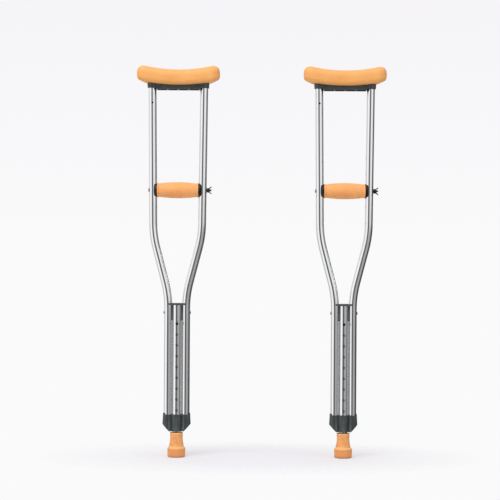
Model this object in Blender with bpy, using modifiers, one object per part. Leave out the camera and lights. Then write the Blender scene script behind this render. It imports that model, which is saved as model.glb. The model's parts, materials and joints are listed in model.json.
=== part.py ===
"""A pair of adjustable underarm crutches.

Sizes are in metres. In the crutch's own frame X runs across it from one side tube to the other, Y runs
from its front to its back, and Z is up from the floor under its tip. Both crutches are alike: one is built,
and the pieces of the second share its meshes.
"""

import math

import bmesh
import bpy
from mathutils import Matrix, Vector

# Collections
PAIR = "crutch_pair"
CUTTERS = "cutters"

# Clearances
REST_GAP = 0.0003
SLIDE_GAP = 0.000375
HOLE_GAP = 0.0004

# The pair
CRUTCH_SPACING = 0.392

# Tubes
SIDE_TUBE_DIAMETER = 0.01905
SIDE_TUBE_WALL = 0.00125
SLEEVE_DIAMETER = 0.0222
SLEEVE_WALL = 0.0012
FOOT_TUBE_WALL = 0.0012

# Side tubes: where their centre lines run
SIDE_TUBE_TOP = 0.8663
TOP_REACH = 0.0608
FORK_REACH = 0.0572
FORK_RISE = 0.139
FORK_ABOVE_SLEEVE = 0.0243
BEND_RADIUS = 0.250

# Height holes and the snap button
HEIGHT_HOLE_PITCH = 0.0254
HEIGHT_HOLE_COUNT = 9
LOWEST_HEIGHT_HOLE = 0.0436
SLEEVE_ABOVE_HOLES = 0.0434
FOOT_TUBE_ABOVE_BUTTON = 0.0197
BUTTON_DIAMETER = 0.0062
BUTTON_PLAY = 0.0008
BUTTON_PROUD = 0.004
BUTTON_FLANGE_DIAMETER = 0.0084
BUTTON_FLANGE_THICKNESS = 0.001
BUTTON_DOME = 0.0018
SPRING_WIDTH = 0.008
SPRING_THICKNESS = 0.0008
SPRING_DROP = 0.044
SPRING_ABOVE_BUTTON = 0.005
SPRING_BEND_RADIUS = 0.0026

# Grip and its bolt
GRIP_HOLE_PITCH = 0.0381
GRIP_HOLE_COUNT = 5
GRIP_HOLE_IN_USE = 2
LOWEST_GRIP_HOLE = 0.5506
GRIP_DIAMETER = 0.0382
GRIP_NECK_DIAMETER = 0.032
GRIP_COLLAR_DIAMETER = 0.034
GRIP_COLLAR_WIDTH = 0.005
GRIP_COLLAR_ROUND = 0.001
GRIP_COLLAR_SLOPE = 0.002
GRIP_NECK_STEP = 0.0005
GRIP_CORE_DIAMETER = 0.016
GRIP_CORE_WALL = 0.0015
CAP_DIAMETER = 0.033
CAP_REACH = 0.0052
CAP_ROUND = 0.0012
CAP_WEB = 0.0022
CAP_BOSS_DIAMETER = 0.024
CAP_SPIGOT_LENGTH = 0.010
BOLT_DIAMETER = 0.005
BOLT_PLAY = 0.0014
BOLT_HEAD_DIAMETER = 0.010
BOLT_HEAD_HEIGHT = 0.0018
BOLT_PAST_NUT = 0.004
WASHER_DIAMETER = 0.0105
WASHER_THICKNESS = 0.0012
NUT_DIAMETER = 0.011
NUT_NOSE_DIAMETER = 0.008
NUT_HEIGHT = 0.0054
NUT_EDGE = 0.00055
WING_LENGTH = 0.009
WING_WIDTH = 0.0095
WING_ROOT_WIDTH = 0.0076
WING_THICKNESS = 0.0022
WING_ROOT = 0.0022
WING_ANGLE = math.radians(36)

# Saddle and its pins
SADDLE_PAST_TUBE = 0.0016
SADDLE_END_FLARE = 0.0009
SADDLE_DEPTH = 0.030
SADDLE_CORNER = 0.011
SADDLE_APRON = 0.0035
SADDLE_EDGE = 0.0008
TONGUE_SETBACK = 0.0043
TONGUE_DEPTH = 0.014
TONGUE_HEIGHT = 0.0135
PLUG_LENGTH = 0.046
PLUG_POINT = 0.003
PLUG_TAPER = 0.0015
POCKET_COUNT = 4
POCKET_WALL = 0.0025
POCKET_RISE = 0.0058
SADDLE_PIN_DROP = 0.0343
SADDLE_PIN_DIAMETER = 0.003
SADDLE_PIN_HEAD = 0.005
SADDLE_PIN_HEAD_HEIGHT = 0.0012
SADDLE_PIN_LENGTH = 0.007

# Pad
PAD_PAST_SLOPE = 0.0045
PAD_DEPTH = 0.047
PAD_ABOVE_TUBES = 0.0062
PAD_THICKNESS = 0.038
PAD_UNDERSIDE_RADIUS = 0.442
PAD_TOP_RADIUS = 0.362
PAD_CREST_ROUND = 0.018
PAD_SLOPE_PAST_SADDLE = 0.0032
PAD_SLOPE_RUN = 0.018
PAD_SLOPE = math.radians(25)
PAD_END_RISE = 0.0275
PAD_END_POWER = 2.7
PAD_PLAN_ROUND = 0.027
PAD_TOP_POWER = 2.4
PAD_UNDER_POWER = 3.6

# Top spacer and the cross rivet
SPACER_WIDTH = 0.040
SPACER_DEPTH = 0.024
SPACER_CORNER = 0.003
SPACER_THICKNESS = 0.0044
SPACER_SPIGOT_LENGTH = 0.0225
LEG_LENGTH = 0.036
LEG_INNER_DEPTH = 0.004
LEG_OUTER_DEPTH = 0.0062
CROSS_RIVET_DROP = 0.0172
CROSS_RIVET_DIAMETER = 0.005
CROSS_RIVET_HEAD = 0.008
CROSS_RIVET_HEAD_HEIGHT = 0.0018

# Bottom bracket and its rivets
BRACKET_BOTTOM = 0.061
BRACKET_LIP = 0.0052
BRACKET_HEIGHT = 0.0392
BRACKET_HORN = 0.0032
BRACKET_HORN_REACH = 0.028
BRACKET_WALL = 0.0034
BRACKET_TOP_WALL = 0.0013
BRACKET_CENTRE_WALL = 0.0028
BRACKET_FLOOR_RISE = 0.020
BRACKET_FLAT_REACH = 0.0175
BRACKET_SHOULDER_RISE = 0.017
BRACKET_RIVET_RISE = 0.031
BRACKET_RIVET_DIAMETER = 0.0032
BRACKET_RIVET_HEAD = 0.0064
BRACKET_RIVET_HEAD_HEIGHT = 0.0014
BRACKET_RIVET_LENGTH = 0.0065

# Tip
TIP_HEIGHT = 0.0575
TIP_TOP_DIAMETER = 0.0302
TIP_WAIST_DIAMETER = 0.0293
TIP_WAIST_HEIGHT = 0.0445
TIP_FLARE_POWER = 1.5
TIP_NECK_DIAMETER = 0.0354
TIP_SHOULDER_HEIGHT = 0.0238
TIP_SHOULDER_SLOPE = 0.003
TIP_SHOULDER_DIAMETER = 0.0424
TIP_BASE_DIAMETER = 0.0416
TIP_EDGE_ROUND = 0.0024
TIP_RIM_ROUND = 0.001
TIP_SOLE = 0.012
TIP_MOUTH_DIAMETER = 0.0262
TIP_MOUTH_DEPTH = 0.0042
TIP_MOUTH_SLOPE = 0.0021
TREAD_GROOVE = 0.003
TREAD_RIB = 0.0028
TREAD_DEPTH = 0.0015
TREAD_GROOVES = 2
TIP_WASHER_THICKNESS = 0.0015

# Flat sides on round pieces
TUBE_SIDES = 16
HOLE_SIDES = 8
PIN_SIDES = 8
TURNED_SIDES = 18
BEND_STEPS = 4
DOME_STEPS = 3

# Welding distance and the sharpest edge that is still shaded smooth
WELD = 0.000001
SMOOTH_ANGLE = math.radians(34)

# Sizes that follow from the ones above
SIDE_TUBE_RADIUS = SIDE_TUBE_DIAMETER / 2
SLEEVE_RADIUS = SLEEVE_DIAMETER / 2
SLEEVE_BORE_RADIUS = SLEEVE_RADIUS - SLEEVE_WALL
FOOT_TUBE_RADIUS = SLEEVE_BORE_RADIUS - SLIDE_GAP
FOOT_BORE_RADIUS = FOOT_TUBE_RADIUS - FOOT_TUBE_WALL
COLUMN_REACH = SLEEVE_RADIUS + REST_GAP + SIDE_TUBE_RADIUS
SLEEVE_BOTTOM = BRACKET_BOTTOM + BRACKET_LIP + REST_GAP
BUTTON_HEIGHT = SLEEVE_BOTTOM + LOWEST_HEIGHT_HOLE + (HEIGHT_HOLE_COUNT - 1) * HEIGHT_HOLE_PITCH
SLEEVE_TOP = BUTTON_HEIGHT + SLEEVE_ABOVE_HOLES
FORK_BOTTOM = SLEEVE_TOP + FORK_ABOVE_SLEEVE
FORK_TOP = FORK_BOTTOM + FORK_RISE
BRACKET_FLOOR = BRACKET_BOTTOM + BRACKET_FLOOR_RISE
SIDE_TUBE_BOTTOM = BRACKET_FLOOR + REST_GAP
TIP_WASHER_BOTTOM = TIP_SOLE + REST_GAP
FOOT_TUBE_BOTTOM = TIP_WASHER_BOTTOM + TIP_WASHER_THICKNESS + REST_GAP
FOOT_TUBE_TOP = BUTTON_HEIGHT + FOOT_TUBE_ABOVE_BUTTON
CROSS_RIVET_HEIGHT = SLEEVE_TOP - CROSS_RIVET_DROP
BRACKET_RIVET_HEIGHT = BRACKET_BOTTOM + BRACKET_RIVET_RISE
SADDLE_PIN_HEIGHT = SIDE_TUBE_TOP - SADDLE_PIN_DROP
GRIP_HEIGHT = LOWEST_GRIP_HOLE + GRIP_HOLE_IN_USE * GRIP_HOLE_PITCH
GRIP_HOLE_DIAMETER = BOLT_DIAMETER + BOLT_PLAY
HEIGHT_HOLE_DIAMETER = BUTTON_DIAMETER + BUTTON_PLAY
SADDLE_END_REACH = TOP_REACH + SIDE_TUBE_RADIUS + SADDLE_PAST_TUBE
TONGUE_REACH = SADDLE_END_REACH - TONGUE_SETBACK
PAD_UNDERSIDE = SIDE_TUBE_TOP + PAD_ABOVE_TUBES
PAD_SLOPE_REACH = SADDLE_END_REACH + PAD_SLOPE_PAST_SADDLE
PAD_SLOPE_END = PAD_SLOPE_REACH + PAD_SLOPE_RUN
PAD_REACH = PAD_SLOPE_END + PAD_PAST_SLOPE
PAD_CREST_REACH = PAD_REACH - PAD_CREST_ROUND
PAD_PLAN_REACH = PAD_REACH - PAD_PLAN_ROUND
TUBE_LEAN = (TOP_REACH - FORK_REACH) / (SIDE_TUBE_TOP - FORK_TOP)
SADDLE_SHOULDER = SIDE_TUBE_TOP + SIDE_TUBE_RADIUS * TUBE_LEAN + REST_GAP


def tube_reach(height):
    """Distance from the crutch's middle to a side tube's centre line, above the fork."""
    return FORK_REACH + (height - FORK_TOP) * TUBE_LEAN


def depth_in_foot(half_width):
    """How far from the middle of the foot tube a flat piece may lie, clear of the bore's flat sides."""
    bore = FOOT_BORE_RADIUS * math.cos(math.pi / TUBE_SIDES)
    return math.sqrt(bore**2 - half_width**2) - REST_GAP


# The button and the two legs of its spring, as distances from the middle of the foot tube
BUTTON_BACK = depth_in_foot(BUTTON_FLANGE_DIAMETER / 2) - BUTTON_FLANGE_THICKNESS
SPRING_FRONT = BUTTON_BACK - REST_GAP - SPRING_THICKNESS / 2
SPRING_BACK = depth_in_foot(SPRING_WIDTH / 2) - SPRING_THICKNESS / 2

# The grip fills the span between the side tubes at its own height
GRIP_TUBE_REACH = tube_reach(GRIP_HEIGHT)
GRIP_SEAT = GRIP_TUBE_REACH - SIDE_TUBE_RADIUS - GRIP_COLLAR_DIAMETER / 2 * TUBE_LEAN - REST_GAP
GRIP_OUTSIDE = GRIP_TUBE_REACH + SIDE_TUBE_RADIUS + REST_GAP
CAP_BOSS_FACE = GRIP_SEAT - CAP_WEB
CORE_REACH = CAP_BOSS_FACE - REST_GAP
CORE_BORE_RADIUS = GRIP_CORE_DIAMETER / 2 - GRIP_CORE_WALL
NUT_SEAT = GRIP_OUTSIDE + WASHER_THICKNESS + REST_GAP


def new_collection(name):
    collection = bpy.data.collections.new(name)
    bpy.context.scene.collection.children.link(collection)
    return collection


def new_material(name, colour, roughness, metallic=0.0):
    """A Principled material from a linear colour."""
    material = bpy.data.materials.new(name)
    material.use_nodes = True
    shader = material.node_tree.nodes["Principled BSDF"]
    shader.inputs["Base Color"].default_value = (*colour, 1.0)
    shader.inputs["Roughness"].default_value = roughness
    shader.inputs["Metallic"].default_value = metallic
    material.diffuse_color = (*colour, 1.0)
    return material


def clear_scene():
    for thing in list(bpy.data.objects):
        bpy.data.objects.remove(thing)


def added(name, data, location=(0, 0, 0), towards=None):
    """A new object in the workshop collection, with its own Z axis turned towards a direction."""
    thing = bpy.data.objects.new(name, data)
    bpy.data.collections[CUTTERS].objects.link(thing)
    thing.location = location
    if towards is not None:
        thing.rotation_euler = Vector(towards).to_track_quat("Z", "Y").to_euler()
    return thing


def evaluated_mesh(thing):
    graph = bpy.context.evaluated_depsgraph_get()
    return bpy.data.meshes.new_from_object(thing.evaluated_get(graph))


def weld(mesh):
    shape = bmesh.new()
    shape.from_mesh(mesh)
    bmesh.ops.remove_doubles(shape, verts=shape.verts, dist=WELD)
    shape.to_mesh(mesh)
    shape.free()


def curve_to_mesh(curve_object):
    """Replaces a curve object with a mesh object whose caps are welded on."""
    name = curve_object.name
    mesh = evaluated_mesh(curve_object)
    weld(mesh)
    solid = added(name, mesh)
    solid.matrix_world = curve_object.matrix_world
    bpy.data.objects.remove(curve_object)
    solid.name = name
    return solid


def turned(name, profile, closed=False, sides=TURNED_SIDES, location=(0, 0, 0), towards=None):
    """A solid turned about its Z axis from (radius, height) points that run down its outer side."""
    points = [(radius, 0.0, height) for radius, height in profile]
    edges = [(index, index + 1) for index in range(len(points) - 1)]
    if closed:
        edges.append((len(points) - 1, 0))
    mesh = bpy.data.meshes.new(name)
    mesh.from_pydata(points, edges, [])
    solid = added(name, mesh, location, towards)
    screw = solid.modifiers.new("Turn", "SCREW")
    screw.steps = sides
    screw.render_steps = sides
    screw.use_merge_vertices = True
    screw.merge_threshold = WELD
    return solid


def ring(name, outer, inner, top, bottom, sides=TURNED_SIDES, location=(0, 0, 0), towards=None):
    """A straight tube or washer."""
    profile = [(outer, top), (outer, bottom), (inner, bottom), (inner, top)]
    return turned(name, profile, True, sides, location, towards)


def rods(name, radius, runs, sides, turn=0.0):
    """Round bars of one radius as one object, each from a start point to an end point."""
    shape = bmesh.new()
    for start, end in runs:
        axis = Vector(end) - Vector(start)
        aim = axis.to_track_quat("Z", "Y").to_matrix().to_4x4() @ Matrix.Rotation(turn, 4, "Z")
        place = Matrix.Translation((Vector(start) + Vector(end)) / 2) @ aim
        size = {"radius1": radius, "radius2": radius, "depth": axis.length}
        bmesh.ops.create_cone(shape, cap_ends=True, segments=sides, matrix=place, **size)
    mesh = bpy.data.meshes.new(name)
    shape.to_mesh(mesh)
    shape.free()
    return added(name, mesh)


def drills(name, radius, runs):
    """Bars that cut holes, turned so that none of their edges meets an edge between a tube's flat sides."""
    return rods(name, radius, runs, HOLE_SIDES, math.pi / HOLE_SIDES)


def boxes(name, corners):
    """Boxes as one object, each from its lowest to its highest corner."""
    shape = bmesh.new()
    for low, high in corners:
        size = Vector(high) - Vector(low)
        place = Matrix.Translation((Vector(low) + Vector(high)) / 2) @ Matrix.Diagonal((*size, 1))
        bmesh.ops.create_cube(shape, size=1, matrix=place)
    mesh = bpy.data.meshes.new(name)
    shape.to_mesh(mesh)
    shape.free()
    return added(name, mesh)


def flat_outline(name, points, thickness):
    """A flat outline in the object's XY plane, filled and extruded to a thickness about it."""
    curve = bpy.data.curves.new(name, "CURVE")
    curve.dimensions = "2D"
    curve.fill_mode = "BOTH"
    curve.extrude = thickness / 2
    spline = curve.splines.new("POLY")
    spline.points.add(len(points) - 1)
    for point, (across, along) in zip(spline.points, points):
        point.co = (across, along, 0, 1)
    spline.use_cyclic_u = True
    return added(name, curve)


def front_shape(name, points, depth):
    """A solid with an (x, z) outline seen from the front, with its depth centred on the crutch."""
    outline = flat_outline(name, points, depth)
    outline.rotation_euler = (math.pi / 2, 0, 0)
    return curve_to_mesh(outline)


def arc(centre, radius, start, end, steps):
    """Points on an arc in a plane, from one angle to another."""
    angles = [start + (end - start) * step / steps for step in range(steps + 1)]
    return [(centre[0] + radius * math.cos(a), centre[1] + radius * math.sin(a)) for a in angles]


def rounded_box(across, along, corner, steps=4):
    """The outline of a rectangle with round corners, centred on the origin."""
    points = []
    for quarter, (side, end) in enumerate(((1, 1), (-1, 1), (-1, -1), (1, -1))):
        centre = (side * (across / 2 - corner), end * (along / 2 - corner))
        points += arc(centre, corner, quarter * math.pi / 2, (quarter + 1) * math.pi / 2, steps)
    return points


def combine(solid, other, operation):
    """Cuts the solid with another, or joins them, by a Boolean modifier."""
    modifier = solid.modifiers.new(other.name, "BOOLEAN")
    modifier.operation = operation
    modifier.solver = "EXACT"
    modifier.object = other


def round_edges(solid, width, angle=math.radians(50), segments=2):
    bevel = solid.modifiers.new("Round edges", "BEVEL")
    bevel.width = width
    bevel.segments = segments
    bevel.limit_method = "ANGLE"
    bevel.angle_limit = angle
    bevel.harden_normals = False


def rounded_path(corners, radius, steps):
    """The corners joined by straight runs, with an arc tangent to both runs at each inner corner."""
    points = [corners[0]]
    for before, corner, after in zip(corners, corners[1:], corners[2:]):
        into = (Vector(before) - Vector(corner)).normalized()
        out = (Vector(after) - Vector(corner)).normalized()
        half_turn = (math.pi - into.angle(out)) / 2
        centre = Vector(corner) + (into + out).normalized() * radius / math.cos(half_turn)
        setback = radius * math.tan(half_turn)
        first = Vector(corner) + into * setback - centre
        last = Vector(corner) + out * setback - centre
        start = math.atan2(first.y, first.x)
        sweep = (math.atan2(last.y, last.x) - start + math.pi) % (2 * math.pi) - math.pi
        points += arc(centre, radius, start, start + sweep, steps)
    return points + [corners[-1]]


def side_tube_path(side, lengthen=0.0):
    """Centre line of the side tube on one side, as (x, z) points from its top down."""
    corners = [
        (TOP_REACH, SIDE_TUBE_TOP),
        (FORK_REACH, FORK_TOP),
        (COLUMN_REACH, FORK_BOTTOM),
        (COLUMN_REACH, SIDE_TUBE_BOTTOM - lengthen),
    ]
    path = rounded_path(corners, BEND_RADIUS, BEND_STEPS)
    return [(side * across, height) for across, height in path]


def bent_bar(name, path, radius, capped):
    """A round bar or open skin along a path of (x, z) points."""
    curve = bpy.data.curves.new(name, "CURVE")
    curve.dimensions = "3D"
    curve.bevel_depth = radius
    curve.bevel_resolution = TUBE_SIDES // 2 - 2
    curve.use_fill_caps = capped
    spline = curve.splines.new("POLY")
    spline.points.add(len(path) - 1)
    for point, (across, height) in zip(spline.points, path):
        point.co = (across, 0, height, 1)
    return curve_to_mesh(added(name, curve))


def loft(name, rings):
    """A closed skin through rings of equally many points, with a flat face at each end."""
    shape = bmesh.new()
    loops = [[shape.verts.new(point) for point in points] for points in rings]
    for near, far in zip(loops, loops[1:]):
        for index in range(len(near)):
            after = (index + 1) % len(near)
            shape.faces.new((near[index], near[after], far[after], far[index]))
    shape.faces.new(loops[0][::-1])
    shape.faces.new(loops[-1])
    bmesh.ops.recalc_face_normals(shape, faces=shape.faces)
    mesh = bpy.data.meshes.new(name)
    shape.to_mesh(mesh)
    shape.free()
    return added(name, mesh)


def side_tube_space(side):
    """The space that a side tube takes in the pieces that it seats in."""
    path = side_tube_path(side, REST_GAP)
    return bent_bar(f"side_tube_space_{side}", path, SIDE_TUBE_RADIUS + REST_GAP, True)


def sleeve_space():
    bottom = (0, 0, SLEEVE_BOTTOM - REST_GAP)
    top = (0, 0, SLEEVE_TOP + REST_GAP)
    return rods("sleeve_space", SLEEVE_RADIUS + REST_GAP, [(bottom, top)], TUBE_SIDES)


def grip_holes():
    """One long bar through both side tubes for each height of the grip."""
    heights = [LOWEST_GRIP_HOLE + step * GRIP_HOLE_PITCH for step in range(GRIP_HOLE_COUNT)]
    reach = GRIP_OUTSIDE + SIDE_TUBE_DIAMETER
    runs = [((-reach, 0, height), (reach, 0, height)) for height in heights]
    return drills("grip_holes", GRIP_HOLE_DIAMETER / 2, runs)


def height_holes():
    """One bar through the front wall of the sleeve for each height of the foot."""
    heights = [BUTTON_HEIGHT - step * HEIGHT_HOLE_PITCH for step in range(HEIGHT_HOLE_COUNT)]
    runs = [((0, 0, height), (0, -SLEEVE_DIAMETER, height)) for height in heights]
    return drills("height_holes", HEIGHT_HOLE_DIAMETER / 2, runs)


def button_hole():
    run = ((0, 0, BUTTON_HEIGHT), (0, -SLEEVE_DIAMETER, BUTTON_HEIGHT))
    return drills("button_hole", HEIGHT_HOLE_DIAMETER / 2, [run])


def cross_rivet_hole():
    reach = COLUMN_REACH + SIDE_TUBE_DIAMETER
    run = ((-reach, 0, CROSS_RIVET_HEIGHT), (reach, 0, CROSS_RIVET_HEIGHT))
    return drills("cross_rivet_hole", CROSS_RIVET_DIAMETER / 2 + HOLE_GAP, [run])


def bolt_hole():
    reach = GRIP_OUTSIDE + SIDE_TUBE_DIAMETER
    run = ((-reach, 0, GRIP_HEIGHT), (reach, 0, GRIP_HEIGHT))
    return drills("bolt_hole", BOLT_DIAMETER / 2 + HOLE_GAP, [run])


def saddle_pin_start(side):
    """Where a saddle pin's head meets its tube: the left pin is in front, the right pin behind."""
    across = side * tube_reach(SADDLE_PIN_HEIGHT)
    return Vector((across, side * (SIDE_TUBE_RADIUS + REST_GAP), SADDLE_PIN_HEIGHT))


def saddle_pin_holes():
    runs = []
    for side in (-1, 1):
        start = saddle_pin_start(side)
        inwards = Vector((0, -side, 0))
        runs.append((start - inwards * REST_GAP, start + inwards * (SADDLE_PIN_LENGTH + REST_GAP)))
    return drills("saddle_pin_holes", SADDLE_PIN_DIAMETER / 2 + HOLE_GAP, runs)


def bracket_skin_radius(height):
    """Radius of a bracket's outer lobe, which narrows towards its top."""
    share = (height - BRACKET_BOTTOM) / BRACKET_HEIGHT
    wall = BRACKET_WALL + share * (BRACKET_TOP_WALL - BRACKET_WALL)
    return SIDE_TUBE_RADIUS + REST_GAP + wall


def bracket_rivet_start(side):
    """Where a bracket rivet's head meets the back of its lobe."""
    depth = bracket_skin_radius(BRACKET_RIVET_HEIGHT) + REST_GAP
    return Vector((side * COLUMN_REACH, depth, BRACKET_RIVET_HEIGHT))


def bracket_rivet_holes():
    runs = []
    for side in (-1, 1):
        start = bracket_rivet_start(side)
        end = start - Vector((0, BRACKET_RIVET_LENGTH + REST_GAP, 0))
        runs.append((start + Vector((0, REST_GAP, 0)), end))
    return drills("bracket_rivet_holes", BRACKET_RIVET_DIAMETER / 2 + HOLE_GAP, runs)


def side_tube(side, cutters):
    """A bent tube with its grip holes, cross rivet hole and pin holes."""
    tube = bent_bar("side_tube", side_tube_path(side), SIDE_TUBE_RADIUS, False)
    wall = tube.modifiers.new("Wall", "SOLIDIFY")
    wall.thickness = SIDE_TUBE_WALL
    wall.offset = -1
    wall.use_even_offset = True
    for hole in ("grip_holes", "cross_rivet_hole", "saddle_pin_holes", "bracket_rivet_holes"):
        combine(tube, cutters[hole], "DIFFERENCE")
    return tube


def centre_tube(cutters):
    tube = ring("centre_tube", SLEEVE_RADIUS, SLEEVE_BORE_RADIUS, SLEEVE_TOP, SLEEVE_BOTTOM, TUBE_SIDES)
    combine(tube, cutters["height_holes"], "DIFFERENCE")
    combine(tube, cutters["cross_rivet_hole"], "DIFFERENCE")
    return tube


def foot_tube(cutters):
    tube = ring("foot_tube", FOOT_TUBE_RADIUS, FOOT_BORE_RADIUS, FOOT_TUBE_TOP, FOOT_TUBE_BOTTOM, TUBE_SIDES)
    combine(tube, cutters["button_hole"], "DIFFERENCE")
    return tube


def pad_underside(across, lift=0.0):
    """Height of the arc that the pad and the saddle meet on."""
    radius = PAD_UNDERSIDE_RADIUS - lift
    return PAD_UNDERSIDE + PAD_UNDERSIDE_RADIUS - math.sqrt(radius**2 - across**2)


def pad_top(across):
    middle = PAD_UNDERSIDE + PAD_THICKNESS
    return middle + PAD_TOP_RADIUS - math.sqrt(PAD_TOP_RADIUS**2 - across**2)


def end_share(across, start, end):
    """How much of its full size the pad keeps between the start of its rounding and its end."""
    share = max(0.0, (across - start) / (end - start))
    return (1 - min(share, 1.0) ** PAD_END_POWER) ** (1 / PAD_END_POWER)


def pad_section(across):
    """Lowest height, highest height and half depth of the pad at a distance from its middle."""
    end_height = PAD_UNDERSIDE + PAD_END_RISE
    crest = pad_top(min(across, PAD_CREST_REACH))
    high = end_height + (crest - end_height) * end_share(across, PAD_CREST_REACH, PAD_REACH)
    low = pad_underside(min(across, PAD_SLOPE_REACH))
    low += max(0.0, across - PAD_SLOPE_REACH) * math.tan(PAD_SLOPE)
    low = end_height + (low - end_height) * end_share(across, PAD_SLOPE_END, PAD_REACH)
    half_depth = PAD_DEPTH / 2 * end_share(across, PAD_PLAN_REACH, PAD_REACH)
    return low, high, half_depth


def pad_ring(across, sides=20):
    """Points round the pad at one distance from its middle: crowned on top, flatter underneath."""
    low, high, half_depth = pad_section(abs(across))
    middle = (low + high) / 2
    points = []
    for index in range(sides):
        angle = 2 * math.pi * (index + 0.5) / sides
        power = PAD_TOP_POWER if math.sin(angle) > 0 else PAD_UNDER_POWER
        depth = math.copysign(abs(math.cos(angle)) ** (2 / power), math.cos(angle))
        rise = math.copysign(abs(math.sin(angle)) ** (2 / power), math.sin(angle))
        points.append((across, half_depth * depth, middle + (high - low) / 2 * rise))
    return points


def underarm_pad(cutters):
    """The crowned pad, dished along its length, with rounded ends and a pocket for the saddle's tongue."""
    end_angles = [math.radians(degrees) for degrees in (0, 34, 60, 80)]
    right = [share * PAD_SLOPE_REACH for share in (0.0, 0.3, 0.58, 0.82, 1.0)]
    right += [PAD_SLOPE_REACH + PAD_SLOPE_RUN * share for share in (0.4, 0.75)]
    right += [PAD_SLOPE_END + PAD_PAST_SLOPE * math.sin(angle) for angle in end_angles]
    stations = [-across for across in reversed(right[1:])] + right
    pad = loft("underarm_pad", [pad_ring(across) for across in stations])
    combine(pad, cutters["tongue_space"], "DIFFERENCE")
    return pad


def tongue(name, gap):
    """The curved slab on top of the saddle, or with a gap the pocket that it fills in the pad."""
    reach = TONGUE_REACH + gap
    steps = 8
    stations = [reach * (2 * step / steps - 1) for step in range(steps + 1)]
    top = [(across, pad_underside(across, TONGUE_HEIGHT + gap)) for across in reversed(stations)]
    under = [(across, pad_underside(across) - SADDLE_APRON) for across in stations]
    return front_shape(name, under + top, TONGUE_DEPTH + 2 * gap)


def saddle_outline():
    """The saddle from the front: its apron hangs between the tubes, and its top follows the pad."""
    steps = 8
    top_reach = SADDLE_END_REACH + SADDLE_END_FLARE
    apron_reach = TOP_REACH - SIDE_TUBE_RADIUS - 2 * REST_GAP
    stations = [top_reach * (1 - 2 * step / steps) for step in range(steps + 1)]
    top = [(across, pad_underside(across) - REST_GAP) for across in stations]
    under = [
        (-SADDLE_END_REACH, SADDLE_SHOULDER),
        (-apron_reach, SADDLE_SHOULDER),
        (-apron_reach, SADDLE_SHOULDER - SADDLE_APRON),
    ]
    return top + under + [(-across, height) for across, height in reversed(under)]


def saddle_plug(side):
    """A plug with a tapered point that fills the top of a side tube."""
    radius = SIDE_TUBE_RADIUS - SIDE_TUBE_WALL - REST_GAP
    bottom = SIDE_TUBE_TOP - PLUG_LENGTH
    end = Vector((side * tube_reach(bottom), 0, bottom))
    top = Vector((side * tube_reach(SIDE_TUBE_TOP), 0, SIDE_TUBE_TOP))
    length = (top - end).length + SADDLE_APRON
    profile = [(0, length), (radius, length), (radius, PLUG_POINT), (radius - PLUG_TAPER, 0), (0, 0)]
    return turned(f"saddle_plug_{side}", profile, False, TUBE_SIDES, end, top - end)


def saddle_pockets():
    """Pockets that core out the apron from below, with ribs left between them."""
    reach = TOP_REACH - SIDE_TUBE_RADIUS - POCKET_WALL
    pitch = (2 * reach + POCKET_WALL) / POCKET_COUNT
    half_depth = SADDLE_DEPTH / 2 - POCKET_WALL
    bottom = SADDLE_SHOULDER - SADDLE_APRON
    corners = []
    for index in range(POCKET_COUNT):
        start = -reach + index * pitch
        low = (start, -half_depth, bottom - POCKET_WALL)
        high = (start + pitch - POCKET_WALL, half_depth, bottom + POCKET_RISE)
        corners.append((low, high))
    return boxes("saddle_pockets", corners)


def saddle(cutters):
    body = front_shape("saddle", saddle_outline(), SADDLE_DEPTH * 2)
    plan = rounded_box(2 * (SADDLE_END_REACH + SADDLE_END_FLARE), SADDLE_DEPTH, SADDLE_CORNER)
    plan_solid = curve_to_mesh(flat_outline("saddle_plan", plan, SIDE_TUBE_TOP))
    plan_solid.location.z = SIDE_TUBE_TOP
    combine(body, plan_solid, "INTERSECT")
    round_edges(body, SADDLE_EDGE)
    combine(body, saddle_plug(-1), "UNION")
    combine(body, saddle_plug(1), "UNION")
    combine(body, tongue("saddle_tongue", 0.0), "UNION")
    combine(body, saddle_pockets(), "DIFFERENCE")
    combine(body, cutters["saddle_pin_holes"], "DIFFERENCE")
    return body


def domed_head(radius, rise):
    """The outer side of a low domed head, as (radius, height) points from its crown to its rim."""
    angles = [math.pi / 2 * step / DOME_STEPS for step in range(DOME_STEPS + 1)]
    return [(radius * math.sin(angle), rise * math.cos(angle)) for angle in angles]


def headed_pin(name, start, towards, radius, length, head_radius, head_height):
    """A pin with a low domed head, whose flat side starts a shank that points towards a direction."""
    profile = domed_head(head_radius, head_height) + [(radius, 0), (radius, -length), (0, -length)]
    return turned(name, profile, False, PIN_SIDES, start, -Vector(towards))


def saddle_pin(side):
    return headed_pin(
        "saddle_pin",
        saddle_pin_start(side),
        (0, -side, 0),
        SADDLE_PIN_DIAMETER / 2,
        SADDLE_PIN_LENGTH,
        SADDLE_PIN_HEAD / 2,
        SADDLE_PIN_HEAD_HEIGHT,
    )


def bracket_rivet(side):
    return headed_pin(
        "bracket_rivet",
        bracket_rivet_start(side),
        (0, -1, 0),
        BRACKET_RIVET_DIAMETER / 2,
        BRACKET_RIVET_LENGTH,
        BRACKET_RIVET_HEAD / 2,
        BRACKET_RIVET_HEAD_HEIGHT,
    )


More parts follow.
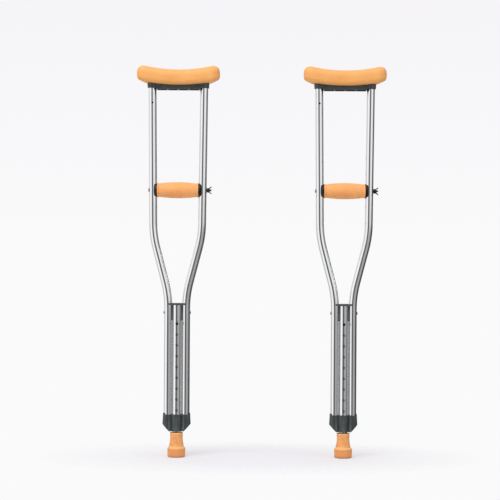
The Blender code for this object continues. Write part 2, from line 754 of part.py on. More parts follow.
def grip_profile():
    """Outer side of the grip's right half: (radius, distance from the middle) points from its end inwards."""
    collar = GRIP_COLLAR_DIAMETER / 2
    neck = GRIP_NECK_DIAMETER / 2
    collar_start = GRIP_SEAT - GRIP_COLLAR_WIDTH
    crown = GRIP_DIAMETER / 2 - neck
    barrel_radius = (collar_start**2 + crown**2) / (2 * crown)
    centre = GRIP_DIAMETER / 2 - barrel_radius
    points = [(collar - GRIP_COLLAR_ROUND, GRIP_SEAT), (collar, GRIP_SEAT - GRIP_COLLAR_ROUND)]
    points.append((collar, collar_start + GRIP_COLLAR_SLOPE))
    points.append((neck + GRIP_NECK_STEP, collar_start))
    for step in (4, 3, 2, 1):
        along = (collar_start - GRIP_COLLAR_ROUND) * step / 4
        points.append((centre + math.sqrt(barrel_radius**2 - along**2), along))
    return points


def grip_sleeve():
    """The barrel grip, with a bore for its core and a wider seat for each cap's boss."""
    outer = grip_profile()
    outer += [(GRIP_DIAMETER / 2, 0.0)] + [(radius, -along) for radius, along in reversed(outer)]
    bore = GRIP_CORE_DIAMETER / 2 + REST_GAP
    seat = CAP_BOSS_DIAMETER / 2 + REST_GAP
    seat_floor = CAP_BOSS_FACE - REST_GAP
    inner = [(seat, -GRIP_SEAT), (seat, -seat_floor), (bore, -seat_floor)]
    inner += [(radius, -along) for radius, along in reversed(inner)]
    return turned("grip_sleeve", outer + inner, True, TURNED_SIDES, (0, 0, GRIP_HEIGHT), (1, 0, 0))


def grip_core():
    radius = GRIP_CORE_DIAMETER / 2
    place = (0, 0, GRIP_HEIGHT)
    return ring("grip_core", radius, CORE_BORE_RADIUS, CORE_REACH, -CORE_REACH, TUBE_SIDES, place, (1, 0, 0))


def grip_cap(side, cutters):
    """An end cap: a spigot in the core, a boss in the grip, and a disc whose arms hug the side tube."""
    disc = CAP_DIAMETER / 2
    disc_face = GRIP_SEAT + REST_GAP
    end = GRIP_SEAT + CAP_REACH
    boss = CAP_BOSS_DIAMETER / 2
    spigot = CORE_BORE_RADIUS - REST_GAP
    profile = [
        (0, end),
        (disc - CAP_ROUND, end),
        (disc, end - CAP_ROUND),
        (disc, disc_face),
        (boss, disc_face),
        (boss, CAP_BOSS_FACE),
        (spigot, CAP_BOSS_FACE),
        (spigot, CAP_BOSS_FACE - CAP_SPIGOT_LENGTH),
        (0, CAP_BOSS_FACE - CAP_SPIGOT_LENGTH),
    ]
    cap = turned("grip_cap", profile, False, TURNED_SIDES, (0, 0, GRIP_HEIGHT), (side, 0, 0))
    combine(cap, cutters[f"side_tube_space_{side}"], "DIFFERENCE")
    combine(cap, cutters["bolt_hole"], "DIFFERENCE")
    return cap


def grip_bolt():
    """The bolt, with its origin where its head meets the left side tube."""
    length = GRIP_OUTSIDE + NUT_SEAT + NUT_HEIGHT + BOLT_PAST_NUT
    radius = BOLT_DIAMETER / 2
    start = (-GRIP_OUTSIDE, 0, GRIP_HEIGHT)
    return headed_pin("grip_bolt", start, (1, 0, 0), radius, length, BOLT_HEAD_DIAMETER / 2, BOLT_HEAD_HEIGHT)


def grip_washer():
    bore = BOLT_DIAMETER / 2 + HOLE_GAP
    place = (GRIP_OUTSIDE, 0, GRIP_HEIGHT)
    return ring("grip_washer", WASHER_DIAMETER / 2, bore, WASHER_THICKNESS, 0, PIN_SIDES, place, (1, 0, 0))


def wing_outline():
    """One wing laid flat: a strip with a round end."""
    half = WING_WIDTH / 2
    root = WING_ROOT_WIDTH / 2
    end = arc((WING_LENGTH - half, 0), half, -math.pi / 2, math.pi / 2, 6)
    return [(0, root), (0, -root)] + end


def wing_nut(cutters):
    """A pressed wing nut: a turned hub, and two thin wings bent out from its base."""
    hub = [
        (0, NUT_HEIGHT),
        (NUT_NOSE_DIAMETER / 2 - NUT_EDGE, NUT_HEIGHT),
        (NUT_NOSE_DIAMETER / 2, NUT_HEIGHT - NUT_EDGE),
        (NUT_DIAMETER / 2, WING_ROOT),
        (NUT_DIAMETER / 2, 0),
        (0, 0),
    ]
    nut = turned("wing_nut", hub, False, PIN_SIDES + 2, (NUT_SEAT, 0, GRIP_HEIGHT), (1, 0, 0))
    for up in (-1, 1):
        wing = flat_outline(f"wing_{up}", wing_outline(), WING_THICKNESS)
        wing.location = (NUT_SEAT + WING_ROOT, 0, GRIP_HEIGHT + up * (BOLT_DIAMETER / 2 + HOLE_GAP))
        wing.rotation_euler = (0, -up * WING_ANGLE, 0)
        combine(nut, curve_to_mesh(wing), "UNION")
    combine(nut, cutters["bolt_hole"], "DIFFERENCE")
    return nut


def spacer_legs():
    """Bars in the four grooves between the sleeve and the side tubes, before they are cut to fit."""
    inner = SLEEVE_RADIUS * math.cos(math.asin(LEG_OUTER_DEPTH / SLEEVE_RADIUS))
    outer = COLUMN_REACH - SIDE_TUBE_RADIUS * math.cos(math.asin(LEG_OUTER_DEPTH / SIDE_TUBE_RADIUS))
    top = SLEEVE_TOP + REST_GAP + SPACER_THICKNESS / 2
    bottom = SLEEVE_TOP - LEG_LENGTH
    corners = []
    for side in (-1, 1):
        across = sorted((side * inner, side * outer))
        for face in (-1, 1):
            depth = sorted((face * LEG_INNER_DEPTH, face * LEG_OUTER_DEPTH))
            corners.append(((across[0], depth[0], bottom), (across[1], depth[1], top)))
    return boxes("spacer_legs", corners)


def top_spacer(cutters):
    """The plug on top of the sleeve: a flange that hugs the side tubes, four legs and a spigot."""
    flange = rounded_box(SPACER_WIDTH, SPACER_DEPTH, SPACER_CORNER, 3)
    spacer = curve_to_mesh(flat_outline("top_spacer", flange, SPACER_THICKNESS))
    spacer.location.z = SLEEVE_TOP + REST_GAP + SPACER_THICKNESS / 2
    combine(spacer, spacer_legs(), "UNION")
    for space in ("side_tube_space_-1", "side_tube_space_1", "sleeve_space"):
        combine(spacer, cutters[space], "DIFFERENCE")
    spigot_top = (0, 0, SLEEVE_TOP + REST_GAP + SPACER_THICKNESS / 2)
    spigot_bottom = (0, 0, SLEEVE_TOP - SPACER_SPIGOT_LENGTH)
    spigot = rods("spacer_spigot", SLEEVE_BORE_RADIUS - REST_GAP, [(spigot_bottom, spigot_top)], TUBE_SIDES)
    combine(spacer, spigot, "UNION")
    combine(spacer, cutters["cross_rivet_hole"], "DIFFERENCE")
    return spacer


def cross_rivet():
    """A rivet across the column, with a domed head on the outside of each side tube."""
    reach = COLUMN_REACH + SIDE_TUBE_RADIUS + REST_GAP
    dome = domed_head(CROSS_RIVET_HEAD / 2, CROSS_RIVET_HEAD_HEIGHT)
    half = [(radius, reach + rise) for radius, rise in dome]
    half.append((CROSS_RIVET_DIAMETER / 2, reach))
    profile = half + [(width, -along) for width, along in reversed(half)]
    return turned("cross_rivet", profile, False, PIN_SIDES, (0, 0, CROSS_RIVET_HEIGHT), (1, 0, 0))


def bracket_lobes():
    """Three upright lobes: two that narrow upwards round the side tubes, and one round the sleeve."""
    top = BRACKET_BOTTOM + BRACKET_HEIGHT + BRACKET_HORN
    places = []
    for side in (-1, 1):
        places.append((side * COLUMN_REACH, bracket_skin_radius(BRACKET_BOTTOM), bracket_skin_radius(top)))
    centre_radius = SLEEVE_RADIUS + REST_GAP + BRACKET_CENTRE_WALL
    places.append((0, centre_radius, centre_radius))
    lobes = []
    for index, (across, low_radius, high_radius) in enumerate(places):
        profile = [(0, top), (high_radius, top), (low_radius, BRACKET_BOTTOM), (0, BRACKET_BOTTOM)]
        lobes.append(turned(f"bracket_lobe_{index}", profile, False, TURNED_SIDES, (across, 0, 0)))
    return lobes


def bracket_outline():
    """The bracket from the front: sloping shoulders below, and a horn outside each side tube on top."""
    top = BRACKET_BOTTOM + BRACKET_HEIGHT
    shoulder = BRACKET_BOTTOM + BRACKET_SHOULDER_RISE
    side = COLUMN_REACH + bracket_skin_radius(shoulder)
    half = [
        (BRACKET_FLAT_REACH, BRACKET_BOTTOM),
        (side, shoulder),
        (side, top + BRACKET_HORN),
        (BRACKET_HORN_REACH, top + BRACKET_HORN),
        (BRACKET_HORN_REACH, top),
    ]
    return half + [(-across, height) for across, height in reversed(half)]


def bottom_bracket(cutters):
    """The bracket: its front outline crossed with its lobes, with sockets for three tubes."""
    outer, other, centre = bracket_lobes()
    combine(centre, outer, "UNION")
    combine(centre, other, "UNION")
    outline = front_shape("bracket_front", bracket_outline(), SLEEVE_DIAMETER * 2)
    combine(centre, outline, "INTERSECT")
    for space in ("side_tube_space_-1", "side_tube_space_1", "sleeve_space"):
        combine(centre, cutters[space], "DIFFERENCE")
    run = ((0, 0, 0), (0, 0, SLEEVE_TOP))
    combine(centre, rods("foot_space", FOOT_TUBE_RADIUS + SLIDE_GAP, [run], TUBE_SIDES), "DIFFERENCE")
    combine(centre, cutters["bracket_rivet_holes"], "DIFFERENCE")
    return centre


def snap_button():
    """The button, with its origin on the back of its flange and its dome towards the front."""
    length = SLEEVE_RADIUS + BUTTON_PROUD - BUTTON_BACK
    radius = BUTTON_DIAMETER / 2
    flange = BUTTON_FLANGE_DIAMETER / 2
    rim = length - BUTTON_DOME
    profile = [(across, rim + rise) for across, rise in domed_head(radius, BUTTON_DOME)]
    profile += [(radius, BUTTON_FLANGE_THICKNESS), (flange, BUTTON_FLANGE_THICKNESS), (flange, 0), (0, 0)]
    place = (0, -BUTTON_BACK, BUTTON_HEIGHT)
    return turned("snap_button", profile, False, PIN_SIDES + 2, place, (0, -1, 0))


def spring_path():
    """The leaf spring from the side: (y, z) points down its front leg, round the bend, up its back leg."""
    top = BUTTON_HEIGHT + SPRING_ABOVE_BUTTON
    low = BUTTON_HEIGHT - SPRING_ABOVE_BUTTON
    bend = ((SPRING_BACK - SPRING_FRONT) / 2, top - SPRING_DROP)
    corners = [(-SPRING_FRONT, top), (-SPRING_FRONT, low), bend, (SPRING_BACK, top - SPRING_DROP / 3)]
    return rounded_path(corners, SPRING_BEND_RADIUS, 3)


def button_spring():
    """A strip of spring steel bent to a V, with its front leg behind the button."""
    shape = bmesh.new()
    loops = []
    for across in (-SPRING_WIDTH / 2, SPRING_WIDTH / 2):
        loops.append([shape.verts.new((across, depth, height)) for depth, height in spring_path()])
    for index in range(len(loops[0]) - 1):
        shape.faces.new((loops[0][index], loops[0][index + 1], loops[1][index + 1], loops[1][index]))
    mesh = bpy.data.meshes.new("button_spring")
    shape.to_mesh(mesh)
    shape.free()
    spring = added("button_spring", mesh)
    leaf = spring.modifiers.new("Leaf", "SOLIDIFY")
    leaf.thickness = SPRING_THICKNESS
    leaf.offset = 0
    leaf.use_even_offset = True
    return spring


def tread_profile():
    """Ribs and grooves of the tread, as (radius, height) points from its edge in to the middle disc."""
    radius = TIP_BASE_DIAMETER / 2 - TIP_EDGE_ROUND
    points = []
    for _ in range(TREAD_GROOVES):
        radius -= TREAD_RIB
        points += [(radius, 0), (radius, TREAD_DEPTH)]
        radius -= TREAD_GROOVE
        points += [(radius, TREAD_DEPTH), (radius, 0)]
    return points


def neck_profile(steps):
    """Outer side of the tip's neck, which flares from its waist down, as (radius, height) points."""
    points = []
    for step in range(steps + 1):
        share = step / steps
        flare = (TIP_NECK_DIAMETER - TIP_WAIST_DIAMETER) / 2 * share**TIP_FLARE_POWER
        height = TIP_WAIST_HEIGHT + (TIP_SHOULDER_HEIGHT - TIP_WAIST_HEIGHT) * share
        points.append((TIP_WAIST_DIAMETER / 2 + flare, height))
    return points


def tip():
    """The rubber tip: a mouth and socket for the foot tube, a flared neck, and a wide ribbed base."""
    socket = FOOT_TUBE_RADIUS + REST_GAP
    mouth = TIP_MOUTH_DIAMETER / 2
    rim = TIP_TOP_DIAMETER / 2
    shoulder = TIP_SHOULDER_DIAMETER / 2
    edge_centre = (TIP_BASE_DIAMETER / 2 - TIP_EDGE_ROUND, TIP_EDGE_ROUND)
    profile = [
        (0, TIP_SOLE),
        (socket, TIP_SOLE),
        (socket, TIP_HEIGHT - TIP_MOUTH_DEPTH),
        (mouth, TIP_HEIGHT - TIP_MOUTH_DEPTH + TIP_MOUTH_SLOPE),
        (mouth, TIP_HEIGHT),
        (rim - TIP_RIM_ROUND, TIP_HEIGHT),
        (rim, TIP_HEIGHT - TIP_RIM_ROUND),
    ]
    profile += neck_profile(4) + [(shoulder, TIP_SHOULDER_HEIGHT - TIP_SHOULDER_SLOPE)]
    profile += arc(edge_centre, TIP_EDGE_ROUND, 0, -math.pi / 2, 3) + tread_profile() + [(0, 0)]
    return turned("tip", profile)


def tip_washer():
    """A steel disc that keeps the foot tube's end from cutting through the sole."""
    top = TIP_WASHER_BOTTOM + TIP_WASHER_THICKNESS
    radius = FOOT_TUBE_RADIUS
    profile = [(0, top), (radius, top), (radius, TIP_WASHER_BOTTOM), (0, TIP_WASHER_BOTTOM)]
    return turned("tip_washer", profile, False, TUBE_SIDES)


def finished(solid, name, material):
    """The solid with its modifiers applied, its flat and round faces shaded, and its material set."""
    mesh = evaluated_mesh(solid)
    mesh.name = name
    mesh.shade_smooth()
    mesh.set_sharp_from_angle(angle=SMOOTH_ANGLE)
    mesh.materials.clear()
    mesh.materials.append(material)
    solid.modifiers.clear()
    solid.data = mesh
    solid.name = name
    bpy.data.collections[CUTTERS].objects.unlink(solid)
    return solid


def make_cutters():
    """The bars and spaces that several pieces are cut with, by name."""
    found = [side_tube_space(-1), side_tube_space(1), sleeve_space(), grip_holes(), height_holes()]
    found += [button_hole(), cross_rivet_hole(), bolt_hole(), saddle_pin_holes(), bracket_rivet_holes()]
    found.append(tongue("tongue_space", REST_GAP))
    return {cutter.name: cutter for cutter in found}


def make_materials():
    return {
        "sponge": new_material("tan_sponge", (0.87, 0.50, 0.20), 0.62),
        "tan_rubber": new_material("tan_rubber", (0.80, 0.40, 0.15), 0.55),
        "slate": new_material("slate_plastic", (0.055, 0.062, 0.068), 0.42),
        "black": new_material("black_plastic", (0.02, 0.018, 0.018), 0.45),
        "tube": new_material("bright_aluminium", (0.82, 0.83, 0.85), 0.24, 1.0),
        "steel": new_material("zinc_steel", (0.62, 0.63, 0.65), 0.33, 1.0),
        "dark_steel": new_material("blackened_steel", (0.03, 0.028, 0.03), 0.38, 1.0),
        "button": new_material("dark_button", (0.015, 0.015, 0.017), 0.2, 0.4),
    }


def make_pieces(cutters, materials):
    """One crutch's finished pieces, each with the name of the body it moves with."""
    plan = [
        ("underarm_pad", underarm_pad(cutters), "sponge", "frame"),
        ("saddle", saddle(cutters), "slate", "frame"),
        ("grip_sleeve", grip_sleeve(), "sponge", "frame"),
        ("grip_core", grip_core(), "tube", "frame"),
        ("grip_bolt", grip_bolt(), "steel", "frame"),
        ("grip_washer", grip_washer(), "dark_steel", "frame"),
        ("wing_nut", wing_nut(cutters), "dark_steel", "frame"),
        ("centre_tube", centre_tube(cutters), "tube", "frame"),
        ("top_spacer", top_spacer(cutters), "slate", "frame"),
        ("cross_rivet", cross_rivet(), "steel", "frame"),
        ("bottom_bracket", bottom_bracket(cutters), "slate", "frame"),
        ("foot_tube", foot_tube(cutters), "tube", "foot"),
        ("button_spring", button_spring(), "steel", "foot"),
        ("snap_button", snap_button(), "button", "foot"),
        ("tip", tip(), "tan_rubber", "foot"),
        ("tip_washer", tip_washer(), "steel", "foot"),
    ]
    for word, side in (("left", -1), ("right", 1)):
        plan.append((f"side_tube_{word}", side_tube(side, cutters), "tube", "frame"))
        plan.append((f"saddle_pin_{word}", saddle_pin(side), "dark_steel", "frame"))
        plan.append((f"grip_cap_{word}", grip_cap(side, cutters), "black", "frame"))
        plan.append((f"bracket_rivet_{word}", bracket_rivet(side), "steel", "frame"))
    return [(finished(solid, name, materials[slot]), name, body) for name, solid, slot, body in plan]


def empty(name, parent, location):
    holder = bpy.data.objects.new(name, None)
    holder.empty_display_size = SLEEVE_DIAMETER
    holder.location = location
    holder.parent = parent
    bpy.data.collections[PAIR].objects.link(holder)
    return holder


def stand_crutch(word, across, pieces, copied):
    """Puts one crutch's pieces under an empty at its place, and those of its foot under another."""
    frame = empty(f"{word}_crutch", None, (across, 0, 0))
    foot = empty(f"{word}_foot", frame, (0, 0, 0))
    holders = {"frame": frame, "foot": foot}
    for piece, name, body in pieces:
        standing = piece.copy() if copied else piece
        standing.name = f"{word}_{name}"
        standing.parent = holders[body]
        bpy.data.collections[PAIR].objects.link(standing)
    return frame


def put_away_cutters(frame):
    """Keeps the cutters with the crutch that they shaped, out of the render."""
    for cutter in bpy.data.collections[CUTTERS].objects:
        cutter.hide_render = True
        cutter.display_type = "WIRE"
        cutter.parent = frame


def main():
    clear_scene()
    new_collection(PAIR)
    new_collection(CUTTERS)
    cutters = make_cutters()
    pieces = make_pieces(cutters, make_materials())
    right = stand_crutch("right", CRUTCH_SPACING / 2, pieces, True)
    left = stand_crutch("left", -CRUTCH_SPACING / 2, pieces, False)
    put_away_cutters(left)
    return left, right


main()
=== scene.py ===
"""The looks of a pair of adjustable underarm crutches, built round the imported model.

Sizes are in metres. One crutch's pieces are made in a frame with the floor under its tip at the origin, X
running from one side tube to the other, Y from front to back and Z up, and stand twice in the scene.
"""

import json
import math

import bmesh
import bpy
import numpy as np
from mathutils import Matrix, Vector

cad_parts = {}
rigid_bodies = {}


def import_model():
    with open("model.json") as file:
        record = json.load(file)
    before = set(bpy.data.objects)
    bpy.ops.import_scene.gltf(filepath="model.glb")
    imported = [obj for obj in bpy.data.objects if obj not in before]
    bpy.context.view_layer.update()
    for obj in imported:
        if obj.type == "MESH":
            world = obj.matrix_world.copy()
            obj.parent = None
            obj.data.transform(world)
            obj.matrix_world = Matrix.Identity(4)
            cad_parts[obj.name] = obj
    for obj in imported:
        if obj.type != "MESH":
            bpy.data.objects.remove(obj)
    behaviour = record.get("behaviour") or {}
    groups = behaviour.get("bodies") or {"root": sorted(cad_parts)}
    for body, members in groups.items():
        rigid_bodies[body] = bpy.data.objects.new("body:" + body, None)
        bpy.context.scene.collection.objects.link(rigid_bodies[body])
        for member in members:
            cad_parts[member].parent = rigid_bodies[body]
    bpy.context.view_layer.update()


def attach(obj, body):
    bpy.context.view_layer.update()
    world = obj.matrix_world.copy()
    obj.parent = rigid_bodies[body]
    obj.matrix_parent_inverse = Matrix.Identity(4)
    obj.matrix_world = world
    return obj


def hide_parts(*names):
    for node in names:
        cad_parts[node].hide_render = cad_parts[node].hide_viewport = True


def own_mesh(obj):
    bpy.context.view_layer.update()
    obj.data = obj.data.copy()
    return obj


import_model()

# Clearances
REST_GAP = 0.0003
SLIDE_GAP = 0.000375
HOLE_GAP = 0.0004

# The pair
CRUTCH_SPACING = 0.392

# Tubes
SIDE_TUBE_DIAMETER = 0.01905
SIDE_TUBE_WALL = 0.00125
SLEEVE_DIAMETER = 0.0222
SLEEVE_WALL = 0.0012
FOOT_TUBE_WALL = 0.0012

# Side tubes: where their centre lines run
SIDE_TUBE_TOP = 0.8663
TOP_REACH = 0.0608
FORK_REACH = 0.0572
FORK_RISE = 0.139
FORK_ABOVE_SLEEVE = 0.0243
BEND_RADIUS = 0.250

# Height holes and the snap button
HEIGHT_HOLE_PITCH = 0.0254
HEIGHT_HOLE_COUNT = 9
LOWEST_HEIGHT_HOLE = 0.0436
SLEEVE_ABOVE_HOLES = 0.0434
FOOT_TUBE_ABOVE_BUTTON = 0.0197
BUTTON_DIAMETER = 0.0062
BUTTON_PLAY = 0.0008
BUTTON_PROUD = 0.004
BUTTON_FLANGE_DIAMETER = 0.0084
BUTTON_FLANGE_THICKNESS = 0.001
BUTTON_DOME = 0.0018
SPRING_WIDTH = 0.008
SPRING_THICKNESS = 0.0008
SPRING_DROP = 0.044
SPRING_ABOVE_BUTTON = 0.005
SPRING_BEND_RADIUS = 0.0026

# Grip and its bolt
GRIP_HOLE_PITCH = 0.0381
GRIP_HOLE_COUNT = 5
GRIP_HOLE_IN_USE = 2
LOWEST_GRIP_HOLE = 0.5506
GRIP_DIAMETER = 0.0382
GRIP_NECK_DIAMETER = 0.032
GRIP_COLLAR_DIAMETER = 0.034
GRIP_COLLAR_WIDTH = 0.005
GRIP_COLLAR_ROUND = 0.001
GRIP_COLLAR_SLOPE = 0.002
GRIP_CORE_DIAMETER = 0.016
GRIP_CORE_WALL = 0.0015
CAP_DIAMETER = 0.033
CAP_REACH = 0.0052
CAP_WEB = 0.0022
CAP_BOSS_DIAMETER = 0.024
CAP_SPIGOT_LENGTH = 0.010
BOLT_DIAMETER = 0.005
BOLT_PLAY = 0.0014
BOLT_HEAD_DIAMETER = 0.010
BOLT_HEAD_HEIGHT = 0.0018
BOLT_PAST_NUT = 0.004
WASHER_DIAMETER = 0.0105
WASHER_THICKNESS = 0.0012
NUT_DIAMETER = 0.011
NUT_NOSE_DIAMETER = 0.008
NUT_HEIGHT = 0.0054
WING_LENGTH = 0.009
WING_WIDTH = 0.0095
WING_ROOT_WIDTH = 0.0076
WING_THICKNESS = 0.0022
WING_ROOT = 0.0022
WING_ANGLE = math.radians(36)

# Saddle and its pins
SADDLE_PAST_TUBE = 0.0016
SADDLE_END_FLARE = 0.0009
SADDLE_DEPTH = 0.030
SADDLE_CORNER = 0.011
SADDLE_APRON = 0.0035
SADDLE_EDGE = 0.0008
TONGUE_SETBACK = 0.0043
TONGUE_DEPTH = 0.014
TONGUE_HEIGHT = 0.0135
PLUG_LENGTH = 0.046
PLUG_POINT = 0.003
PLUG_TAPER = 0.0015
POCKET_COUNT = 4
POCKET_WALL = 0.0025
POCKET_RISE = 0.0058
SADDLE_PIN_DROP = 0.0343
SADDLE_PIN_DIAMETER = 0.003
SADDLE_PIN_HEAD = 0.005
SADDLE_PIN_HEAD_HEIGHT = 0.0012
SADDLE_PIN_LENGTH = 0.007

# Pad
PAD_PAST_SLOPE = 0.0045
PAD_DEPTH = 0.047
PAD_ABOVE_TUBES = 0.0062
PAD_THICKNESS = 0.038
PAD_UNDERSIDE_RADIUS = 0.442
PAD_TOP_RADIUS = 0.362
PAD_CREST_ROUND = 0.018
PAD_SLOPE_PAST_SADDLE = 0.0032
PAD_SLOPE_RUN = 0.018
PAD_SLOPE = math.radians(25)
PAD_END_RISE = 0.0275
PAD_END_POWER = 2.7
PAD_PLAN_ROUND = 0.027
PAD_TOP_POWER = 2.4
PAD_UNDER_POWER = 3.6

# Top spacer and the cross rivet
SPACER_WIDTH = 0.040
SPACER_DEPTH = 0.024
SPACER_CORNER = 0.003
SPACER_THICKNESS = 0.0044
SPACER_SPIGOT_LENGTH = 0.0225
LEG_LENGTH = 0.036
LEG_INNER_DEPTH = 0.004
LEG_OUTER_DEPTH = 0.0062
CROSS_RIVET_DROP = 0.0172
CROSS_RIVET_DIAMETER = 0.005
CROSS_RIVET_HEAD = 0.008
CROSS_RIVET_HEAD_HEIGHT = 0.0018

# Bottom bracket and its rivets
BRACKET_BOTTOM = 0.061
BRACKET_LIP = 0.0052
BRACKET_HEIGHT = 0.0392
BRACKET_HORN = 0.0032
BRACKET_HORN_REACH = 0.028
BRACKET_WALL = 0.0034
BRACKET_TOP_WALL = 0.0013
BRACKET_CENTRE_WALL = 0.0028
BRACKET_FLOOR_RISE = 0.020
BRACKET_FLAT_REACH = 0.0175
BRACKET_SHOULDER_RISE = 0.017
BRACKET_RIVET_RISE = 0.031
BRACKET_RIVET_DIAMETER = 0.0032
BRACKET_RIVET_HEAD = 0.0064
BRACKET_RIVET_HEAD_HEIGHT = 0.0014
BRACKET_RIVET_LENGTH = 0.0065

# Tip
TIP_HEIGHT = 0.0575
TIP_TOP_DIAMETER = 0.0302
TIP_WAIST_DIAMETER = 0.0293
TIP_WAIST_HEIGHT = 0.0445
TIP_FLARE_POWER = 1.5
TIP_NECK_DIAMETER = 0.0354
TIP_SHOULDER_HEIGHT = 0.0238
TIP_SHOULDER_SLOPE = 0.003
TIP_SHOULDER_DIAMETER = 0.0424
TIP_BASE_DIAMETER = 0.0416
TIP_EDGE_ROUND = 0.0024
TIP_RIM_ROUND = 0.001
TIP_SOLE = 0.012
TIP_MOUTH_DIAMETER = 0.0262
TIP_MOUTH_DEPTH = 0.0042
TIP_MOUTH_SLOPE = 0.0021
TREAD_GROOVE = 0.003
TREAD_RIB = 0.0028
TREAD_DEPTH = 0.0015
TREAD_GROOVES = 2
TIP_WASHER_THICKNESS = 0.0015

# Flat sides on round pieces, and steps along curves
TUBE_SIDES = 48
HOLE_SIDES = 28
PIN_SIDES = 40
TURNED_SIDES = 72
BEND_STEPS = 16
DOME_STEPS = 8
PAD_SIDES = 80
PAD_STEPS = 26
PAD_END_STEPS = 12
CURVE_STEPS = 48
GRIP_STEPS = 18
NECK_STEPS = 14
SOFT_STEPS = 4
CORNER_STEPS = 12
PAD_SLOPE_STEPS = 12
WING_END_STEPS = 20
TIP_EDGE_STEPS = 10
THREAD_STEPS = 150
FLOOR_SIDES = 96

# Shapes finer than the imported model's
PAD_TIP = 0.00004
PAD_SLOPE_EASE = 0.003
TUBE_EDGE = 0.00015
FINE_EDGE = 0.0003
MOULDED_EDGE = 0.0005
SPACER_EDGE = 0.0006
WING_EDGE = 0.0006
SPRING_EDGE = 0.0002
THREAD_LENGTH = 0.0145
THREAD_PITCH = 0.0008
THREAD_DEPTH = 0.0004
BOLT_POINT = 0.0006
BOLT_FILLET = 0.0004
GRIP_GROOVE = 0.0006

# The flattest corner of a profile that is softened, and the most that its arc takes of a run beside it
SOFT_ANGLE = math.radians(150)
SOFT_REACH = 0.45

# Camera and lamps
CAMERA_PLACE = (-0.0255, -3.3, 0.4871)
CAMERA_SENSOR = 36.0
CAMERA_LENS = 101.0
CAMERA_ROLL = math.radians(-0.33)
LAMP_TARGET = (0.0, 0.0, 0.5)
KEY_LAMP = {"location": (-1.2, -1.9, 3.1), "size": 2.2, "power": 66.0}
FILL_LAMP = {"location": (2.4, -1.6, 2.9), "size": 1.6, "power": 10.0}

# The floor, which fades out between two distances from its middle, where width counts half
FLOOR_RADIUS = 2.6
FLOOR_FADE = (0.11, 0.27)
FLOOR_SPREAD = (0.5, 1.0, 1.0)
FLOOR_TONE = (0.88, 0.865, 0.90)
FLOOR_SHARE = 0.46
FLOOR_BOUNCE = (0.79, 0.78, 0.78)
FLOOR_GLOW = 0.49

# The studio round it, with heights as they are on a ball one unit in radius
HORIZON_TONE = (0.955, 0.955, 0.962)
TOP_TONE = (0.913, 0.896, 0.930)
SKY_TOP = 0.2
PLAIN_TONE = (1.0, 0.99, 0.985)
PLAIN_LIGHT = (0.46, 0.90)
EYE_LEVEL = (-0.05, 0.05)
CEILING_EDGE = (0.45, 0.75)

# Its walls: the angle round the crutches in degrees, and the greys below and above eye level
STUDIO_WALLS = [
    (-180, 0.90, 0.93),
    (-136, 0.62, 0.80),
    (-124, 0.56, 0.70),
    (-98, 0.56, 0.70),
    (-88, 1.0, 1.0),
    (-37, 1.0, 1.0),
    (-27, 0.11, 0.14),
    (5, 0.11, 0.14),
    (13, 0.40, 0.88),
    (64, 0.40, 0.95),
    (74, 0.06, 0.12),
    (128, 0.08, 0.14),
    (146, 0.14, 0.50),
    (180, 0.5, 0.93),
]

# How deep the fine textures of the surfaces are
SPONGE_LUMPS = 0.00016
SPONGE_SPECKS = 0.00009
SPONGE_PORES = 0.0001
RUBBER_GRAIN = 0.00008
RUBBER_LUMPS = 0.00009
PLASTIC_GRAIN = 0.00003
TUBE_LINES = 0.0000015
PLATED_GRAIN = 0.00002

# Painted highlights on the tip's shoulder and top rim: share of its height, and how pale
PAINTED_HIGHLIGHT_TONE = 0.6
TIP_PAINTED_HIGHLIGHTS = [(0.0, 0.0), (0.34, 0.0), (0.385, PAINTED_HIGHLIGHT_TONE), (0.43, PAINTED_HIGHLIGHT_TONE), (0.46, 0.0), (0.94, 0.0)]
TIP_PAINTED_HIGHLIGHTS += [(0.985, PAINTED_HIGHLIGHT_TONE), (1.0, PAINTED_HIGHLIGHT_TONE)]

# How deep the tip's painted shade below its shoulder and its dirt with painted shade at the floor are, and
# the heights between which they fade out
TIP_PAINTED_SHADE = 0.75
TIP_PAINTED_SHADE_SPAN = (TIP_SHOULDER_HEIGHT * 0.8, TIP_SHOULDER_HEIGHT * 1.1)
TIP_DIRT_AND_SHADE = 0.75
TIP_DIRT_AND_SHADE_SPAN = (0.0005, 0.0065)

# The palest that a part of a colour gets
PALEST = 0.97

# Welding distance, the sharpest edge that is still shaded smooth, and how straight out a tube's skin faces
WELD = 0.000001
SMOOTH_ANGLE = math.radians(34)
SKIN_FACING = 0.9

# Pieces whose large faces look flat right up to their soft edges
EVENLY_SHADED = {"saddle", "wing_nut", "top_spacer", "bottom_bracket", "button_spring"}
EVENLY_SHADED |= {"grip_cap_left", "grip_cap_right"}

# What cuts both the spacer and the bracket, and the direction in which the grip and its bolt lie
COLUMN_SPACES = ("side_tube_space_-1", "side_tube_space_1", "sleeve_space")
RIGHTWARDS = (1, 0, 0)

# Sizes that follow from the ones above
SIDE_TUBE_RADIUS = SIDE_TUBE_DIAMETER / 2
SLEEVE_RADIUS = SLEEVE_DIAMETER / 2
SLEEVE_BORE_RADIUS = SLEEVE_RADIUS - SLEEVE_WALL
FOOT_TUBE_RADIUS = SLEEVE_BORE_RADIUS - SLIDE_GAP
FOOT_BORE_RADIUS = FOOT_TUBE_RADIUS - FOOT_TUBE_WALL
COLUMN_REACH = SLEEVE_RADIUS + REST_GAP + SIDE_TUBE_RADIUS
SLEEVE_BOTTOM = BRACKET_BOTTOM + BRACKET_LIP + REST_GAP
BUTTON_HEIGHT = SLEEVE_BOTTOM + LOWEST_HEIGHT_HOLE + (HEIGHT_HOLE_COUNT - 1) * HEIGHT_HOLE_PITCH
SLEEVE_TOP = BUTTON_HEIGHT + SLEEVE_ABOVE_HOLES
FORK_BOTTOM = SLEEVE_TOP + FORK_ABOVE_SLEEVE
